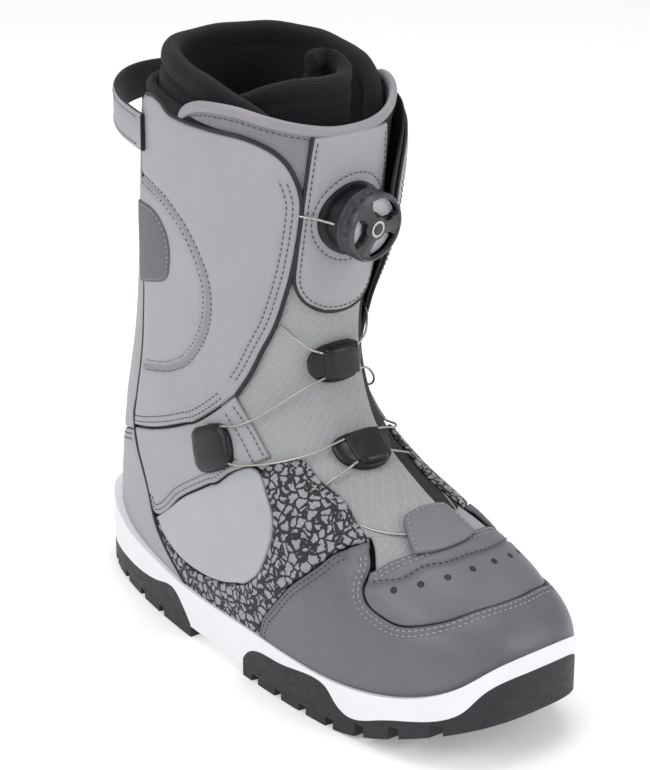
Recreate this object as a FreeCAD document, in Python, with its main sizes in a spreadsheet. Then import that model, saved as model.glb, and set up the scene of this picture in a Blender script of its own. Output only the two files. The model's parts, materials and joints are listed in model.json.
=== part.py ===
"""A snowboard boot with a dial lacing system.

It is a right boot: toe towards +X, lateral side towards -Y, sole on Z = 0.

All sizes are millimetres.  The boot's outer skin is one smooth form, given by a table of horizontal
sections.  Every layer of the upper lies between two offsets of that form: liner, base, overlays and patches.
"""
import FreeCAD, Part
import math
import os
import re

import Sketcher

from FreeCAD import Rotation, Vector

doc = FreeCAD.newDocument("snowboard_boot")
os.makedirs("parts", exist_ok=True)

# ---------------------------------------------------------------- driving dimensions

SIZES = {
    # sole
    "sole_length": 302, "sole_half_width": 50.5, "sole_toe_flare": 0.16, "sole_toe_turn": 6.5,
    "sole_toe_round": 2.84, "sole_heel_round": 2.6,
    "rubber_wall": 3.5, "rubber_floor": 6, "groove_depth": 4, "groove_width": 5, "groove_lean": 14,
    "shank_length": 95, "shank_width": 16, "shank_thickness": 1.6, "shank_back": -62, "shank_low": 17,
    "pad_radius": 24, "pad_thickness": 6, "pad_low": 13, "heel_centre": -105,
    "arch_back": -38, "arch_length": 46, "arch_height": 6,
    # layers of the upper, as depths from the outer skin (negative is inwards)
    "overlay_inner": -1.6, "base_outer": -1.9, "base_inner": -4.9, "gusset_outer": -4.6,
    "gusset_inner": -5.2, "board_edge": -5.3, "liner_outer": -5.5, "liner_inner": -13, "footbed_edge": -13.3,
    "wrap_outer": -13.4, "wrap_inner": -18,
    "patch_inner": 0.3, "patch_outer": 1.7, "badge_inner": 2, "badge_outer": 3.2,
    "guide_inner": -1.5, "guide_plate": 1.6, "guide_outer": 5, "fit_gap": 0.3,
    "board_thickness": 3, "liner_floor": 5, "footbed_thickness": 5,
    # dial, as heights over its seat on the tongue
    "dial_height": 223.7, "dial_yaw": 5, "dial_pitch": 6, "dial_flange_radius": 17.2,
    "dial_flange_top": 2.6,
    "housing_radius": 14.6, "housing_bore": 12.2, "housing_floor": 4, "housing_top": 9.3,
    "post_radius": 2.4, "post_top": 12.5, "running_gap": 0.1,
    "spool_radius": 11.6, "spool_hub": 6, "spool_low": 4.3, "spool_top": 9, "spool_flange": 0.8,
    "winding_radius": 9.5, "disc_radius": 13.8, "disc_low": 9.6, "disc_top": 11.6,
    "knob_radius": 16.5, "knob_bore": 15, "knob_low": 6.2, "knob_plate": 14.2, "knob_top": 17.5,
    "knob_hub": 6, "knob_rim": 12.6, "arm_width": 6.5, "notch_count": 24, "notch_radius": 0.9,
    "screw_radius": 1.2, "screw_head": 3.4, "screw_head_top": 13.6, "screw_length": 9,
    # pull loop
    "loop_low": 243, "loop_width": 17, "loop_thickness": 2.4,
    # lace and its guides
    "lace_radius": 0.6, "channel_radius": 0.9, "tube_radius": 1.05, "tube_bore": 0.8, "tube_pocket": 1.4,
}

# horizontal sections of the outer skin: height, heel end, toe end, half width,
# roundness at the heel and at the toe, widening towards the toe
LEVELS = [
    (20, -146, 148, 49.0, 2.4, 2.7, 0.17),
    (45, -145, 150, 49.5, 2.4, 2.65, 0.17),
    (60, -144, 144, 48.5, 2.35, 2.55, 0.16),
    (74, -142, 122, 47.0, 2.3, 2.45, 0.13),
    (86, -139, 97, 45.5, 2.2, 2.35, 0.10),
    (98, -135, 67, 44.0, 2.2, 2.25, 0.06),
    (115, -129, 38, 42.0, 2.2, 2.2, 0.03),
    (140, -121, 21, 41.0, 2.2, 2.2, 0.0),
    (170, -114, 18, 43.0, 2.2, 2.2, 0.0),
    (205, -106.5, 24, 47.5, 2.2, 2.2, 0.0),
    (250, -98, 28, 52.0, 2.2, 2.2, 0.0),
    (300, -90, 30, 54.0, 2.2, 2.2, 0.0),
]
LEVEL_FIELDS = ("height", "heel", "toe", "half_width", "heel_round", "toe_round", "widening")

sheet = doc.addObject("Spreadsheet::Sheet", "Sizes")
row = 0


def add_size(name, value):
    """One named cell of the sheet."""
    global row
    row += 1
    sheet.set(f"A{row}", name)
    sheet.set(f"B{row}", str(value))
    sheet.setAlias(f"B{row}", name)


for size_name, size_value in SIZES.items():
    add_size(size_name, size_value)
for number, level in enumerate(LEVELS):
    for field, value in zip(LEVEL_FIELDS, level):
        add_size(f"level_{number}_{field}", value)
doc.recompute()


def size(name):
    """A driving dimension, read from the sheet."""
    return float(getattr(sheet, name))


levels = [[size(f"level_{i}_{field}") for field in LEVEL_FIELDS] for i in range(len(LEVELS))]
GAP = size("fit_gap")

# ---------------------------------------------------------------- the form

WIDE = 130.0          # half depth of every cutting prism, wider than the boot
UNDER = 5.0           # a short way below the ground, where cutting blocks start
TOP = 300.0           # upper end of the form, above the boot
BOTTOM = 20.0         # lower end of the form, inside the sole
TURN_START = -20.0    # the foot turns inwards forward of this x
TURN_SPAN = 170.0
TURN_REACH = 8.0      # sideways shift at the toe
ANGLE_COUNT = 72


def section(height):
    """The section values at a height: a cubic through the levels."""
    index = max(0, min(len(levels) - 2, sum(1 for level in levels[1:] if level[0] <= height)))
    low, high = levels[index], levels[index + 1]
    before = levels[max(index - 1, 0)]
    after = levels[min(index + 2, len(levels) - 1)]
    span = high[0] - low[0]
    u = (height - low[0]) / span
    values = []
    for k in range(1, len(LEVEL_FIELDS)):
        slope_low = (high[k] - before[k]) / (high[0] - before[0]) * span
        slope_high = (after[k] - low[k]) / (after[0] - low[0]) * span
        values.append((2 * u**3 - 3 * u**2 + 1) * low[k] + (u**3 - 2 * u**2 + u) * slope_low
                      + (-2 * u**3 + 3 * u**2) * high[k] + (u**3 - u**2) * slope_high)
    return values


def signed_power(value, power):
    return math.copysign(abs(value) ** power, value)


def toe_turn(x, height):
    """Sideways shift of the forefoot towards the medial side, fading out up the shaft."""
    fade = max(0.0, min(1.0, (125.0 - height) / 60.0))
    fade = fade * fade * (3 - 2 * fade)
    return fade * TURN_REACH * max(0.0, (x - TURN_START) / TURN_SPAN) ** 2


def skin(angle, height):
    """A point of the outer skin.  Angle 0 is the front, 180 the back, negative the lateral side."""
    heel, toe, half, heel_round, toe_round, widening = section(height)
    c, s = math.cos(math.radians(angle)), math.sin(math.radians(angle))
    power = 2.0 / (toe_round if c > 0 else heel_round)
    along, across = signed_power(c, power), signed_power(s, power)
    x = (toe + heel) / 2 + (toe - heel) / 2 * along
    y = half * across * (1 + widening * along) + toe_turn(x, height)
    return Vector(x, y, height)


def skin_normal(angle, height):
    """Outward unit normal of the skin."""
    around = skin(angle + 1.5, height) - skin(angle - 1.5, height)
    up = skin(angle, height + 1.0) - skin(angle, height - 1.0)
    return around.cross(up).normalize()


def at_depth(angle, height, depth):
    """A point off the skin along its normal; positive depth is outside."""
    return skin(angle, height) + skin_normal(angle, height) * depth


def form_heights():
    """Rows of the form: close together over the foot, wider apart up the shaft."""
    foot = [BOTTOM + 6.0 * i for i in range(16)]
    shaft = [TOP - 12.0 * i for i in range(15)]
    return foot + [h for h in reversed(shaft) if h > foot[-1] + 4]


def solid_from_rows(rows):
    """Closed solid through rings of poles; the first and last rings are flat."""
    around, up = len(rows[0]), len(rows)
    poles = [[rows[v][u] for v in range(up)] for u in range(around)]
    surface = Part.BSplineSurface()
    inner = up - 4
    surface.buildFromPolesMultsKnots(
        poles, [1] * (around + 1), [4] + [1] * inner + [4],
        [float(i) for i in range(around + 1)], [float(i) for i in range(inner + 2)],
        True, False, 3, 3)
    side = surface.toShape()
    rims = sorted((e for e in side.Edges if e.isClosed()), key=lambda e: e.BoundBox.ZMax)
    caps = [Part.Face(Part.Wire(rims[0])), Part.Face(Part.Wire(rims[-1]))]
    shell = Part.makeShell([side] + caps)
    shell.sewShape()
    return Part.makeSolid(shell)


form_cache = {}


def form(depth):
    """The solid inside the skin, offset by a depth."""
    key = round(depth, 3)
    if key not in form_cache:
        heights = form_heights()
        rows = []
        for height in heights:
            ring = []
            for i in range(ANGLE_COUNT):
                angle = 180.0 - 360.0 * i / ANGLE_COUNT
                normal = skin_normal(angle, height)
                if height in (heights[0], heights[-1]):
                    normal.z = 0
                ring.append(skin(angle, height) + normal * depth)
            rows.append(ring)
        form_cache[key] = solid_from_rows(rows)
    return form_cache[key]


layer_cache = {}


def layer(inner, outer):
    """The hollow layer of the upper between two depths."""
    key = (round(inner, 3), round(outer, 3))
    if key not in layer_cache:
        layer_cache[key] = form(outer).cut(form(inner))
    return layer_cache[key]


# ---------------------------------------------------------------- cutting prisms

LATERAL, MEDIAL, BOTH = "lateral", "medial", "both"
SIDE_SPANS = {LATERAL: (-WIDE, WIDE), MEDIAL: (0, WIDE), BOTH: (-WIDE, 2 * WIDE)}


def stroke_edges(strokes, place):
    """Edges of a closed outline: each stroke is a straight line or a smooth curve through its points."""
    edges = []
    for stroke in strokes:
        points = [place(*p) for p in stroke]
        if len(points) == 2:
            edges.append(Part.LineSegment(*points).toShape())
        else:
            curve = Part.BSplineCurve()
            curve.interpolate(points)
            edges.append(curve.toShape())
    return edges


def closed(strokes):
    """The strokes joined end to end, with a straight one back to the start where they don't meet it."""
    joined = []
    for stroke in strokes:
        start = [joined[-1][-1]] if joined else []
        joined.append(start + list(stroke))
    if joined[-1][-1] != joined[0][0]:
        joined.append([joined[-1][-1], joined[0][0]])
    return joined


def side_prism(strokes, side=BOTH):
    """Everything inside a side-view outline (x, z), on one side of the boot or both."""
    start, depth = SIDE_SPANS[side]
    wire = Part.Wire(stroke_edges(closed(strokes), lambda x, z: Vector(x, start, z)))
    return Part.Face(wire).extrude(Vector(0, depth, 0))


def front_prism(strokes, x_low, x_high):
    """Everything inside a front-view outline (y, z), between two x."""
    wire = Part.Wire(stroke_edges(closed(strokes), lambda y, z: Vector(x_low, y, z)))
    return Part.Face(wire).extrude(Vector(x_high - x_low, 0, 0))


def plan_prism(strokes):
    """Everything inside a top-view outline (x, y)."""
    wire = Part.Wire(stroke_edges(closed(strokes), lambda x, y: Vector(x, y, 0)))
    return Part.Face(wire).extrude(Vector(0, 0, TOP))


def half_block(side):
    """One half of space: lateral or medial."""
    start = -WIDE if side == LATERAL else GAP / 2
    return Part.makeBox(400, WIDE - GAP / 2, 400, Vector(-200, start, -20))


def mirror_angle(side):
    return -1 if side == LATERAL else 1


# side-view curves of the sole, heel to toe
FEATHER = [(-160, 41), (-140, 37), (-113, 31), (-79, 28), (-49, 26), (18, 26), (79, 25), (102, 28), (125, 35),
           (138, 43), (147, 52), (160, 60)]
FLOOR = [(-160, 27), (-60, 25), (20, 22), (80, 21), (115, 26), (160, 40)]
GROUND_FLAT = (-134, 72)
GROUND_HEEL = (-160, 6)
GROUND_TOE = [(89, 2.5), (110, 9), (138, 19.5), (160, 29)]
HEEL_RUBBER = [(-160, 12), (-110, 13), (-68, 18), (-54, 20), (-46, 15), (-38, 7)]
TOE_RUBBER = [(8, 9), (15, 16), (37, 19), (58, 22), (70, 20), (75, 15), (82, 11), (102, 16), (123, 22),
              (138, 30), (143, 38), (149, 45), (160, 48)]


def above(curve, lift):
    """Everything above a side-view curve, raised by a lift."""
    raised = [(x, z + lift) for x, z in curve]
    return side_prism([raised, [(raised[-1][0], TOP + 20)], [(raised[0][0], TOP + 20)]])


def above_ground(lift):
    """Everything above the walking surface: a heel bevel, a flat and the toe's spring."""
    flat = [(x, lift) for x in GROUND_FLAT]
    heel = (GROUND_HEEL[0], GROUND_HEEL[1] + lift)
    toe = [(x, z + lift) for x, z in GROUND_TOE]
    return side_prism([[heel, flat[0]], [flat[1]], toe, [(toe[-1][0], TOP)], [(heel[0], TOP)]])


def band(curve, low, high):
    """Between two lifts of one side-view curve."""
    bottom = [(x, z + low) for x, z in curve]
    roof = [(x, z + high) for x, z in reversed(curve)]
    return side_prism([bottom, [roof[0]], roof[1:]])


# ---------------------------------------------------------------- nodes

NODES = []


def add_feature(label, shape):
    """A node whose shape the form gives."""
    if shape.ShapeType == "Compound" and len(shape.Solids) == 1:
        shape = shape.Solids[0]
    node = doc.addObject("Part::Feature", label)
    node.Label = label
    node.Shape = shape
    node.Placement = FreeCAD.Placement()
    NODES.append(node)
    return node


def largest(shape, count=1):
    """The largest solids of a boolean's result, without its crumbs."""
    solids = sorted(shape.Solids, key=lambda s: -s.Volume)[:count]
    return solids[0] if count == 1 else Part.makeCompound(solids)


# ---------------------------------------------------------------- sole

def sole_block(inset, low, high):
    """Upright block inside the sole's outline."""
    half_length = size("sole_length") / 2 - inset
    half_width = size("sole_half_width") - inset
    rows = []
    for height in (low, low + (high - low) / 3, low + 2 * (high - low) / 3, high):
        ring = []
        for i in range(ANGLE_COUNT):
            t = math.radians(180.0 - 360.0 * i / ANGLE_COUNT)
            power = 2.0 / size("sole_toe_round" if math.cos(t) > 0 else "sole_heel_round")
            along, across = signed_power(math.cos(t), power), signed_power(math.sin(t), power)
            x = half_length * along
            turn = size("sole_toe_turn") * max(0.0, (x - TURN_START) / TURN_SPAN) ** 2
            ring.append(Vector(x, half_width * across * (1 + size("sole_toe_flare") * along) + turn, height))
        rows.append(ring)
    return solid_from_rows(rows)


sole = sole_block(0, -UNDER, 70).common(above_ground(0))
rubber_core = sole_block(size("rubber_wall"), -2 * UNDER, 80).common(above_ground(size("rubber_floor")))


def below(curve):
    """Everything under a side-view curve."""
    return side_prism([curve, [(curve[-1][0], -20)], [(curve[0][0], -20)]])


def ground_height(x):
    """Height of the walking surface, taken as straight between its points."""
    line = [GROUND_HEEL, (GROUND_FLAT[0], 0), (GROUND_FLAT[1], 0)] + GROUND_TOE
    for (x1, z1), (x2, z2) in zip(line, line[1:]):
        if x1 <= x < x2:
            return z1 + (z2 - z1) * (x - x1) / (x2 - x1)
    return 0.0


GROOVE_REACH = 80.0   # sideways, past the edge of the sole


def lug_grooves(first_x, last_x, count):
    """Cross grooves that lean back to both sides of the middle line, and one groove along the middle."""
    width, lean = size("groove_width"), size("groove_lean")
    pitch = (last_x - first_x) / (count - 1)
    cutters = []
    for i in range(count):
        x = first_x + i * pitch
        height = UNDER + ground_height(x) + size("groove_depth")
        for hand in (-1, 1):
            points = [Vector(x, 0, -UNDER), Vector(x + width, 0, -UNDER),
                      Vector(x + width - lean, hand * GROOVE_REACH, -UNDER),
                      Vector(x - lean, hand * GROOVE_REACH, -UNDER)]
            face = Part.Face(Part.makePolygon(points + points[:1]))
            cutters.append(face.extrude(Vector(0, 0, height)))
    return cutters


def outsole(label, top_curve, grooves):
    """A rubber cup: a lugged floor with walls that wrap up the midsole."""
    cup = sole.common(below(top_curve)).cut(rubber_core)
    return add_feature(label, largest(cup.cut(grooves).cut(cup_space)))


cup_space = form(size("overlay_inner")).common(above(FLOOR, 0))
outsole_heel = outsole("outsole_heel", HEEL_RUBBER, lug_grooves(-128, -62, 4))
outsole_forefoot = outsole("outsole_forefoot", TOE_RUBBER, lug_grooves(24, 132, 7))

shank_box = Part.makeBox(size("shank_length"), size("shank_width"), size("shank_thickness"),
                         Vector(size("shank_back"), -size("shank_width") / 2, size("shank_low")))
pad = Part.makeCylinder(size("pad_radius"), size("pad_thickness"),
                        Vector(size("heel_centre"), 0, size("pad_low")))
add_feature("shank", shank_box)
add_feature("heel_shock_pad", pad)

arch_cut = Part.makeBox(size("arch_length"), 2 * WIDE, size("arch_height") + UNDER,
                        Vector(size("arch_back"), -WIDE, -UNDER))
midsole = sole.cut([above(FEATHER, 0), cup_space, outsole_heel.Shape, outsole_forefoot.Shape, arch_cut,
                    shank_box, pad])
midsole = midsole.cut(lug_grooves(-128, -62, 4) + lug_grooves(24, 132, 7))
add_feature("midsole", largest(midsole))

# ---------------------------------------------------------------- lace route

# The lateral half of the lace, from the dial to the toe: angle and height on the skin, and depth.
ON_SKIN, IN_TUBE, IN_GUIDE = 1.6, -2.7, 2.6
LACE = [
    (-10, 224.7, 9.5), (-15.5, 225.7, 4.6), (-20, 226.7, 2.6), (-24, 227.1, 1.2), (-29, 227.4, -1.2),
    (-34, 227.6, IN_TUBE), (-40, 226.5, IN_TUBE), (-47, 221, IN_TUBE), (-51, 212, IN_TUBE),
    (-52, 202, IN_TUBE), (-51, 192, IN_TUBE), (-48, 183, IN_TUBE), (-43.5, 176.5, IN_TUBE),
    (-38, 173, IN_TUBE), (-33, 170, -1.0), (-27, 166.5, 1.2), (-19, 161, IN_GUIDE), (-10, 157.3, IN_GUIDE),
    (-3.5, 152, IN_GUIDE), (-10, 146.7, IN_GUIDE), (-19, 144, IN_GUIDE), (-31, 138.5, ON_SKIN),
    (-43, 132, ON_SKIN), (-54, 125.5, 1.8), (-64, 120.5, IN_GUIDE), (-73, 117.5, IN_GUIDE),
    (-81, 115, IN_GUIDE), (-86, 109, IN_GUIDE), (-82, 103, IN_GUIDE), (-73, 102.8, IN_GUIDE),
    (-63, 105.5, 1.8), (-52, 108.7, ON_SKIN), (-40, 112, ON_SKIN), (-28, 115, 1.9), (-17, 117.8, IN_GUIDE),
    (-9, 118.8, IN_GUIDE), (-3.5, 115, IN_GUIDE), (-9, 111.2, IN_GUIDE), (-18, 108.9, 1.7),
    (-26, 106.8, 1.0), (-33, 104.8, -1.2), (-38, 102.5, IN_TUBE), (-38, 98.5, IN_TUBE), (-34, 95, IN_TUBE),
    (-27, 92.5, IN_TUBE), (-17, 91.3, IN_TUBE), (-6, 91, IN_TUBE),
]
# the runs where one stretch of lace ends and the next begins; a run joins a route point to the next
RUN_SPOOL, RUN_SEAT, RUN_QUARTER_TOP, RUN_QUARTER_LOW = 0, 2, 4, 13
RUN_UPPER_IN, RUN_UPPER_OUT, RUN_ANKLE_IN, RUN_ANKLE_OUT = 16, 19, 24, 28
RUN_LOWER_IN, RUN_LOWER_OUT, RUN_TOE = 34, 37, 40
LAST_RUN = len(LACE) - 2


def lace_points(side):
    hand = -mirror_angle(side)
    return [at_depth(angle * hand, height, depth) for angle, height, depth in LACE]


def rounded_wire(points):
    """Straight runs joined by tangent arcs, each arc as large as its runs allow."""
    edges = []
    start = points[0]
    for before, corner, after in zip(points, points[1:], points[2:]):
        into, away = (corner - before), (after - corner)
        turn = into.getAngle(away)
        reach = 0.45 * min(into.Length, away.Length)
        u, v = into.normalize(), away.normalize()
        first, last = corner - u * reach, corner + v * reach
        if turn < 0.01:
            continue
        radius = reach / math.tan(turn / 2)
        centre = corner + (v - u).normalize() * (radius / math.cos(turn / 2))
        middle = centre + (corner - centre).normalize() * radius
        edges.append(Part.LineSegment(start, first).toShape())
        edges.append(Part.Arc(first, middle, last).toShape())
        start = last
    edges.append(Part.LineSegment(start, points[-1]).toShape())
    return Part.Wire(edges)


def tube(points, radius):
    """A round bar along a rounded wire."""
    wire = rounded_wire(points)
    ring = Part.Wire(Part.makeCircle(radius, points[0], points[1] - points[0]))
    bar = wire.makePipeShell([ring], True, True)
    expected = math.pi * radius**2 * wire.Length
    if abs(bar.Volume - expected) > 0.02 * expected:
        raise RuntimeError(f"tube volume {bar.Volume:.1f} is not {expected:.1f}")
    return bar


def stretch(points, first_run, last_run):
    """Route points of one stretch, cut at the middle of its first and last runs."""
    start = (points[first_run] + points[first_run + 1]) * 0.5
    end = (points[last_run] + points[last_run + 1]) * 0.5
    return [start] + points[first_run + 1:last_run + 1] + [end]


def lace_pair(first_run, last_run, radius):
    """The same stretch of the lace on both sides of the boot."""
    return [tube(stretch(lace_points(side), first_run, last_run), radius) for side in (LATERAL, MEDIAL)]


def toe_stretch():
    """The lace from one lower run, round the toe, to the other."""
    lateral = stretch(lace_points(LATERAL), RUN_TOE, LAST_RUN)[:-1] + [lace_points(LATERAL)[-1]]
    medial = stretch(lace_points(MEDIAL), RUN_TOE, LAST_RUN)[:-1] + [lace_points(MEDIAL)[-1]]
    return lateral + medial[::-1]


LACE_STRETCHES = {
    "lace_spool_ends": (RUN_SPOOL, RUN_SEAT),
    "lace_dial_spans": (RUN_SEAT, RUN_QUARTER_TOP),
    "lace_upper_runs": (RUN_QUARTER_TOP, RUN_QUARTER_LOW),
    "lace_upper_spans": (RUN_QUARTER_LOW, RUN_UPPER_IN),
    "lace_upper_turns": (RUN_UPPER_IN, RUN_UPPER_OUT),
    "lace_crossing_spans": (RUN_UPPER_OUT, RUN_ANKLE_IN),
    "lace_ankle_turns": (RUN_ANKLE_IN, RUN_ANKLE_OUT),
    "lace_instep_spans": (RUN_ANKLE_OUT, RUN_LOWER_IN),
    "lace_lower_turns": (RUN_LOWER_IN, RUN_LOWER_OUT),
    "lace_lower_spans": (RUN_LOWER_OUT, RUN_TOE),
}
for lace_label, (first, last) in LACE_STRETCHES.items():
    add_feature(lace_label, Part.makeCompound(lace_pair(first, last, size("lace_radius"))))
add_feature("lace_toe_run", tube(toe_stretch(), size("lace_radius")))

CHANNEL = size("channel_radius")
quarter_channels = lace_pair(RUN_SEAT, RUN_UPPER_IN, CHANNEL) + lace_pair(
    RUN_QUARTER_TOP, RUN_QUARTER_LOW, size("tube_radius") + size("running_gap"))
tube_pockets = lace_pair(RUN_QUARTER_TOP, RUN_QUARTER_LOW, size("tube_pocket")) + [
    tube(toe_stretch(), size("tube_pocket"))]
dial_channels = lace_pair(RUN_SPOOL, RUN_QUARTER_TOP, CHANNEL)
upper_channels = lace_pair(RUN_UPPER_IN - 1, RUN_UPPER_OUT + 1, CHANNEL)
ankle_channels = lace_pair(RUN_ANKLE_IN - 1, RUN_ANKLE_OUT + 1, CHANNEL)
lower_channels = lace_pair(RUN_LOWER_IN - 1, RUN_LOWER_OUT + 1, CHANNEL)
toe_channels = lace_pair(RUN_LOWER_OUT, LAST_RUN, CHANNEL)


def guide_tubes(first_run, last_run):
    """Plastic tubes that carry the lace under the cuff, one on each side."""
    outer = lace_pair(first_run, last_run, size("tube_radius"))
    inner = lace_pair(first_run, last_run, size("tube_bore"))
    return Part.makeCompound([a.cut(b) for a, b in zip(outer, inner)])


add_feature("cuff_lace_tubes", guide_tubes(RUN_QUARTER_TOP + 1, RUN_QUARTER_LOW - 1))

# ---------------------------------------------------------------- upper

UPPER_TOP = [(-120, 266), (-98, 264), (-51, 272)]
QUARTER_FRONT = [(-26, 272), (-4, 268), (12, 262), (19, 254), (20.5, 240), (20, 229), (16, 206), (10, 186),
                 (5, 172), (-1, 159), (-7, 146), (-14, 134)]
CUFF_SEAM = [(-42, 112), (-75, 98), (-105, 87)]
PIPING = [(-98, 105), (-91, 133), (-84, 175), (-79, 214), (-75, 256), (-74, 262)]
SIDE_PANEL = [(-75, 50), (-52, 68), (-31, 82), (-12, 95), (0, 103), (9, 102), (19, 92), (25, 80), (22, 66),
              (15, 54), (2, 46), (-12, 41), (-30, 38), (-50, 38), (-67, 43), (-75, 50)]
THROAT = [(14, 109), (25, 112), (36, 106), (51, 100), (64, 93), (72, 89)]
TOE_CAP_BACK = [(19, 20), (22, 34), (29, 44), (40, 58), (50, 68), (61, 80), (70, 86)]
TOE_CAP_TOP = [(76, 88), (80, 80), (83, 70), (90, 64), (106, 61), (120, 64), (132, 69), (150, 72)]
BASE_FRONT = [(-20, 262), (-12, 229), (-8, 206), (-12, 186), (-16, 172), (-20, 159), (-22, 146), (-24, 136)]

BASE_THROAT = [(-14, 118), (0, 106), (14, 104), (32, 100), (48, 93), (58, 88), (69, 82)]

boot_space = above(FLOOR, GAP)
skin_space = above(FEATHER, GAP)
overlay = layer(size("overlay_inner"), 0).common(skin_space)
base_shell = layer(size("base_inner"), size("base_outer")).common(boot_space)


def skin_panel(label, strokes, side, shell=None, holes=()):
    """One overlay: the part of a layer inside a side-view outline."""
    piece = (shell or overlay).common(side_prism(strokes, side)).common(half_block(side))
    for hole in holes:
        piece = piece.cut(hole)
    return add_feature(label, largest(piece))


def inset_panel(strokes, side):
    """A slightly larger prism, which leaves a gap round the panel set into a hole."""
    centre_x = sum(p[0] for s in strokes for p in s) / sum(len(s) for s in strokes)
    centre_z = sum(p[1] for s in strokes for p in s) / sum(len(s) for s in strokes)

    def grown(x, z):
        away = Vector(x - centre_x, z - centre_z, 0)
        away = away * (1 + GAP / away.Length)
        return centre_x + away.x, centre_z + away.y

    return side_prism([[grown(*p) for p in s] for s in strokes], side)


def shifted(points, dx, dz):
    """An outline's stretch moved as a whole, for the gap between two panels."""
    return [(x + dx, z + dz) for x, z in points]


for side in (LATERAL, MEDIAL):
    # base: the padded inner wall of the upper, open over the instep
    base_outline = [UPPER_TOP, BASE_FRONT, BASE_THROAT, [(69, 120)], [(160, 120)], [(160, 10)], [(-160, 10)],
                    [(-160, 266)]]
    base = base_shell.common(side_prism(base_outline, side)).common(half_block(side))
    add_feature(f"upper_base_{side}", largest(base.cut(tube_pockets)))

    quarter_outline = [[(-74, 268), (-51, 272)], QUARTER_FRONT, CUFF_SEAM, PIPING]
    pad_outline = [[(-78, 224), (-60, 226), (-41, 219), (-30, 205), (-26, 188), (-30, 166), (-40, 149),
                    (-60, 135), (-86, 129)], [(-82, 175), (-77, 214)]]
    skin_panel(f"quarter_{side}", quarter_outline, side, holes=quarter_channels)
    pad_shell = layer(size("patch_inner"), size("patch_outer"))
    skin_panel(f"rear_pad_{side}", pad_outline, side, pad_shell)

    ankle_outline = [[(-104, 84), (-75, 95), (-42, 109), (-14, 131)], [(0, 120), (11, 110)],
                     [(0, 105)], [(-12, 97.5), (-31, 84.5), (-52, 70.5), (-77, 52)], [(-92, 70)]]
    skin_panel(f"ankle_panel_{side}", ankle_outline, side)
    skin_panel(f"side_panel_{side}", [SIDE_PANEL], side)
    print_outline = [[(-77, 47), (-66, 38), (-53, 30), (-40, 20)], [(18.5, 20)], shifted(TOE_CAP_BACK, -0.5, 0.4),
                     shifted(THROAT[::-1], 0, -0.3), [(10, 105)]]
    skin_panel(f"print_panel_{side}", print_outline, side,
               holes=[inset_panel([SIDE_PANEL], side)] + toe_channels)
    patch_outline = [[(-77, 214), (-62, 217), (-51, 214), (-46, 204), (-48, 192), (-56, 181), (-81, 172)],
                     [(-80, 192), (-77, 214)]]
    badge_shell = layer(size("badge_inner"), size("badge_outer"))
    skin_panel(f"rear_patch_{side}", patch_outline, side, badge_shell)
    cover_outline = [[(-37, 110), (-34, 113), (-20, 118.5), (-16, 118)], [(-12, 113), (-8, 105)],
                     [(-9, 101.5), (-22, 94), (-27, 92.5)], [(-32, 98), (-37, 107)]]
    skin_panel(f"ankle_guide_{side}", cover_outline, side, layer(size("patch_inner"), size("guide_outer")),
               holes=ankle_channels)

# heel counter and back stay cross the middle of the heel
COUNTER_FRONT = [(-40.5, 20), (-53.5, 30), (-67, 38), (-78, 47), (-93, 70), (-105.5, 83)]
counter_outline = [COUNTER_FRONT, [(-150, 66)], [(-160, 60)], [(-160, 20)]]
add_feature("heel_counter", largest(overlay.common(side_prism(counter_outline))))
stay_outline = [[(-106, 84.5), (-99, 105), (-92, 133), (-85, 175), (-80, 214), (-75.5, 256), (-75, 264)],
                [(-120, 262)], [(-160, 100)], [(-150, 67)]]
add_feature("back_stay", largest(overlay.common(side_prism(stay_outline))))

# toe: a rand round the front, the vamp panel on top of it and the tab at the throat
cap_outline = [TOE_CAP_BACK, TOE_CAP_TOP, [(160, 72)], [(160, 20)]]
vamp_outline = [shifted(TOE_CAP_TOP, 0.3, 0.4), [(150, 95)], [(76, 95)]]
toe_band = overlay.common(Part.makeBox(200, 2 * WIDE, 200, Vector(0, -WIDE, 0)))
add_feature("toe_cap", largest(toe_band.common(side_prism(cap_outline))))
add_feature("vamp_top", largest(toe_band.common(side_prism(vamp_outline))))
tab_prism = plan_prism([[(91, -18), (83, -17), (76, -12), (73.5, -2), (73, 8), (75, 16), (83, 19)],
                        [(93, 17), (96, 10), (96.5, 0), (95, -10), (91, -18)]])
tab_band = layer(size("patch_inner"), size("patch_outer"))
add_feature("toe_tab", largest(tab_band.common(tab_prism)))

# ---------------------------------------------------------------- liner, footbed and board

board_top = size("board_thickness") + GAP
liner_bottom = board_top + GAP
liner_floor = liner_bottom + size("liner_floor")
footbed_bottom = liner_floor + GAP
add_feature("lasting_board", largest(form(size("board_edge")).common(band(FLOOR, GAP, board_top))))
LINER_TOP = [(-130, 292), (-84, 291), (-50, 284), (-18, 272), (10, 262), (60, 258)]
liner_bounds = side_prism([[(x, z + liner_bottom) for x, z in FLOOR], [(160, 258)], LINER_TOP[::-1],
                           [(-160, 292)]])
liner_inside = form(size("liner_inner")).common(above(FLOOR, liner_floor))
whole_liner = form(size("liner_outer")).common(liner_bounds).cut(liner_inside)
footbed_band = band(FLOOR, footbed_bottom, footbed_bottom + size("footbed_thickness"))
add_feature("footbed", largest(form(size("footbed_edge")).common(footbed_band)))

# the liner's knitted collar and the flap that wraps over the shin inside it
COLLAR_SEAM = [(-160, 258), (-60, 252), (10, 240), (160, 236)]
add_feature("liner", largest(whole_liner.cut(above(COLLAR_SEAM, 0))))
add_feature("liner_collar", largest(whole_liner.common(above(COLLAR_SEAM, 0))))
wrap_prism = front_prism([[(-30, 130), (30, 130)], [(34, 180), (36, 230), (30, 262)],
                          [(10, 270), (-12, 266), (-30, 256)], [(-36, 220), (-34, 180), (-30, 130)]], -10, 60)
wrap_band = layer(size("wrap_inner"), size("wrap_outer"))
add_feature("liner_wrap", largest(wrap_band.common(wrap_prism)))

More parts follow.
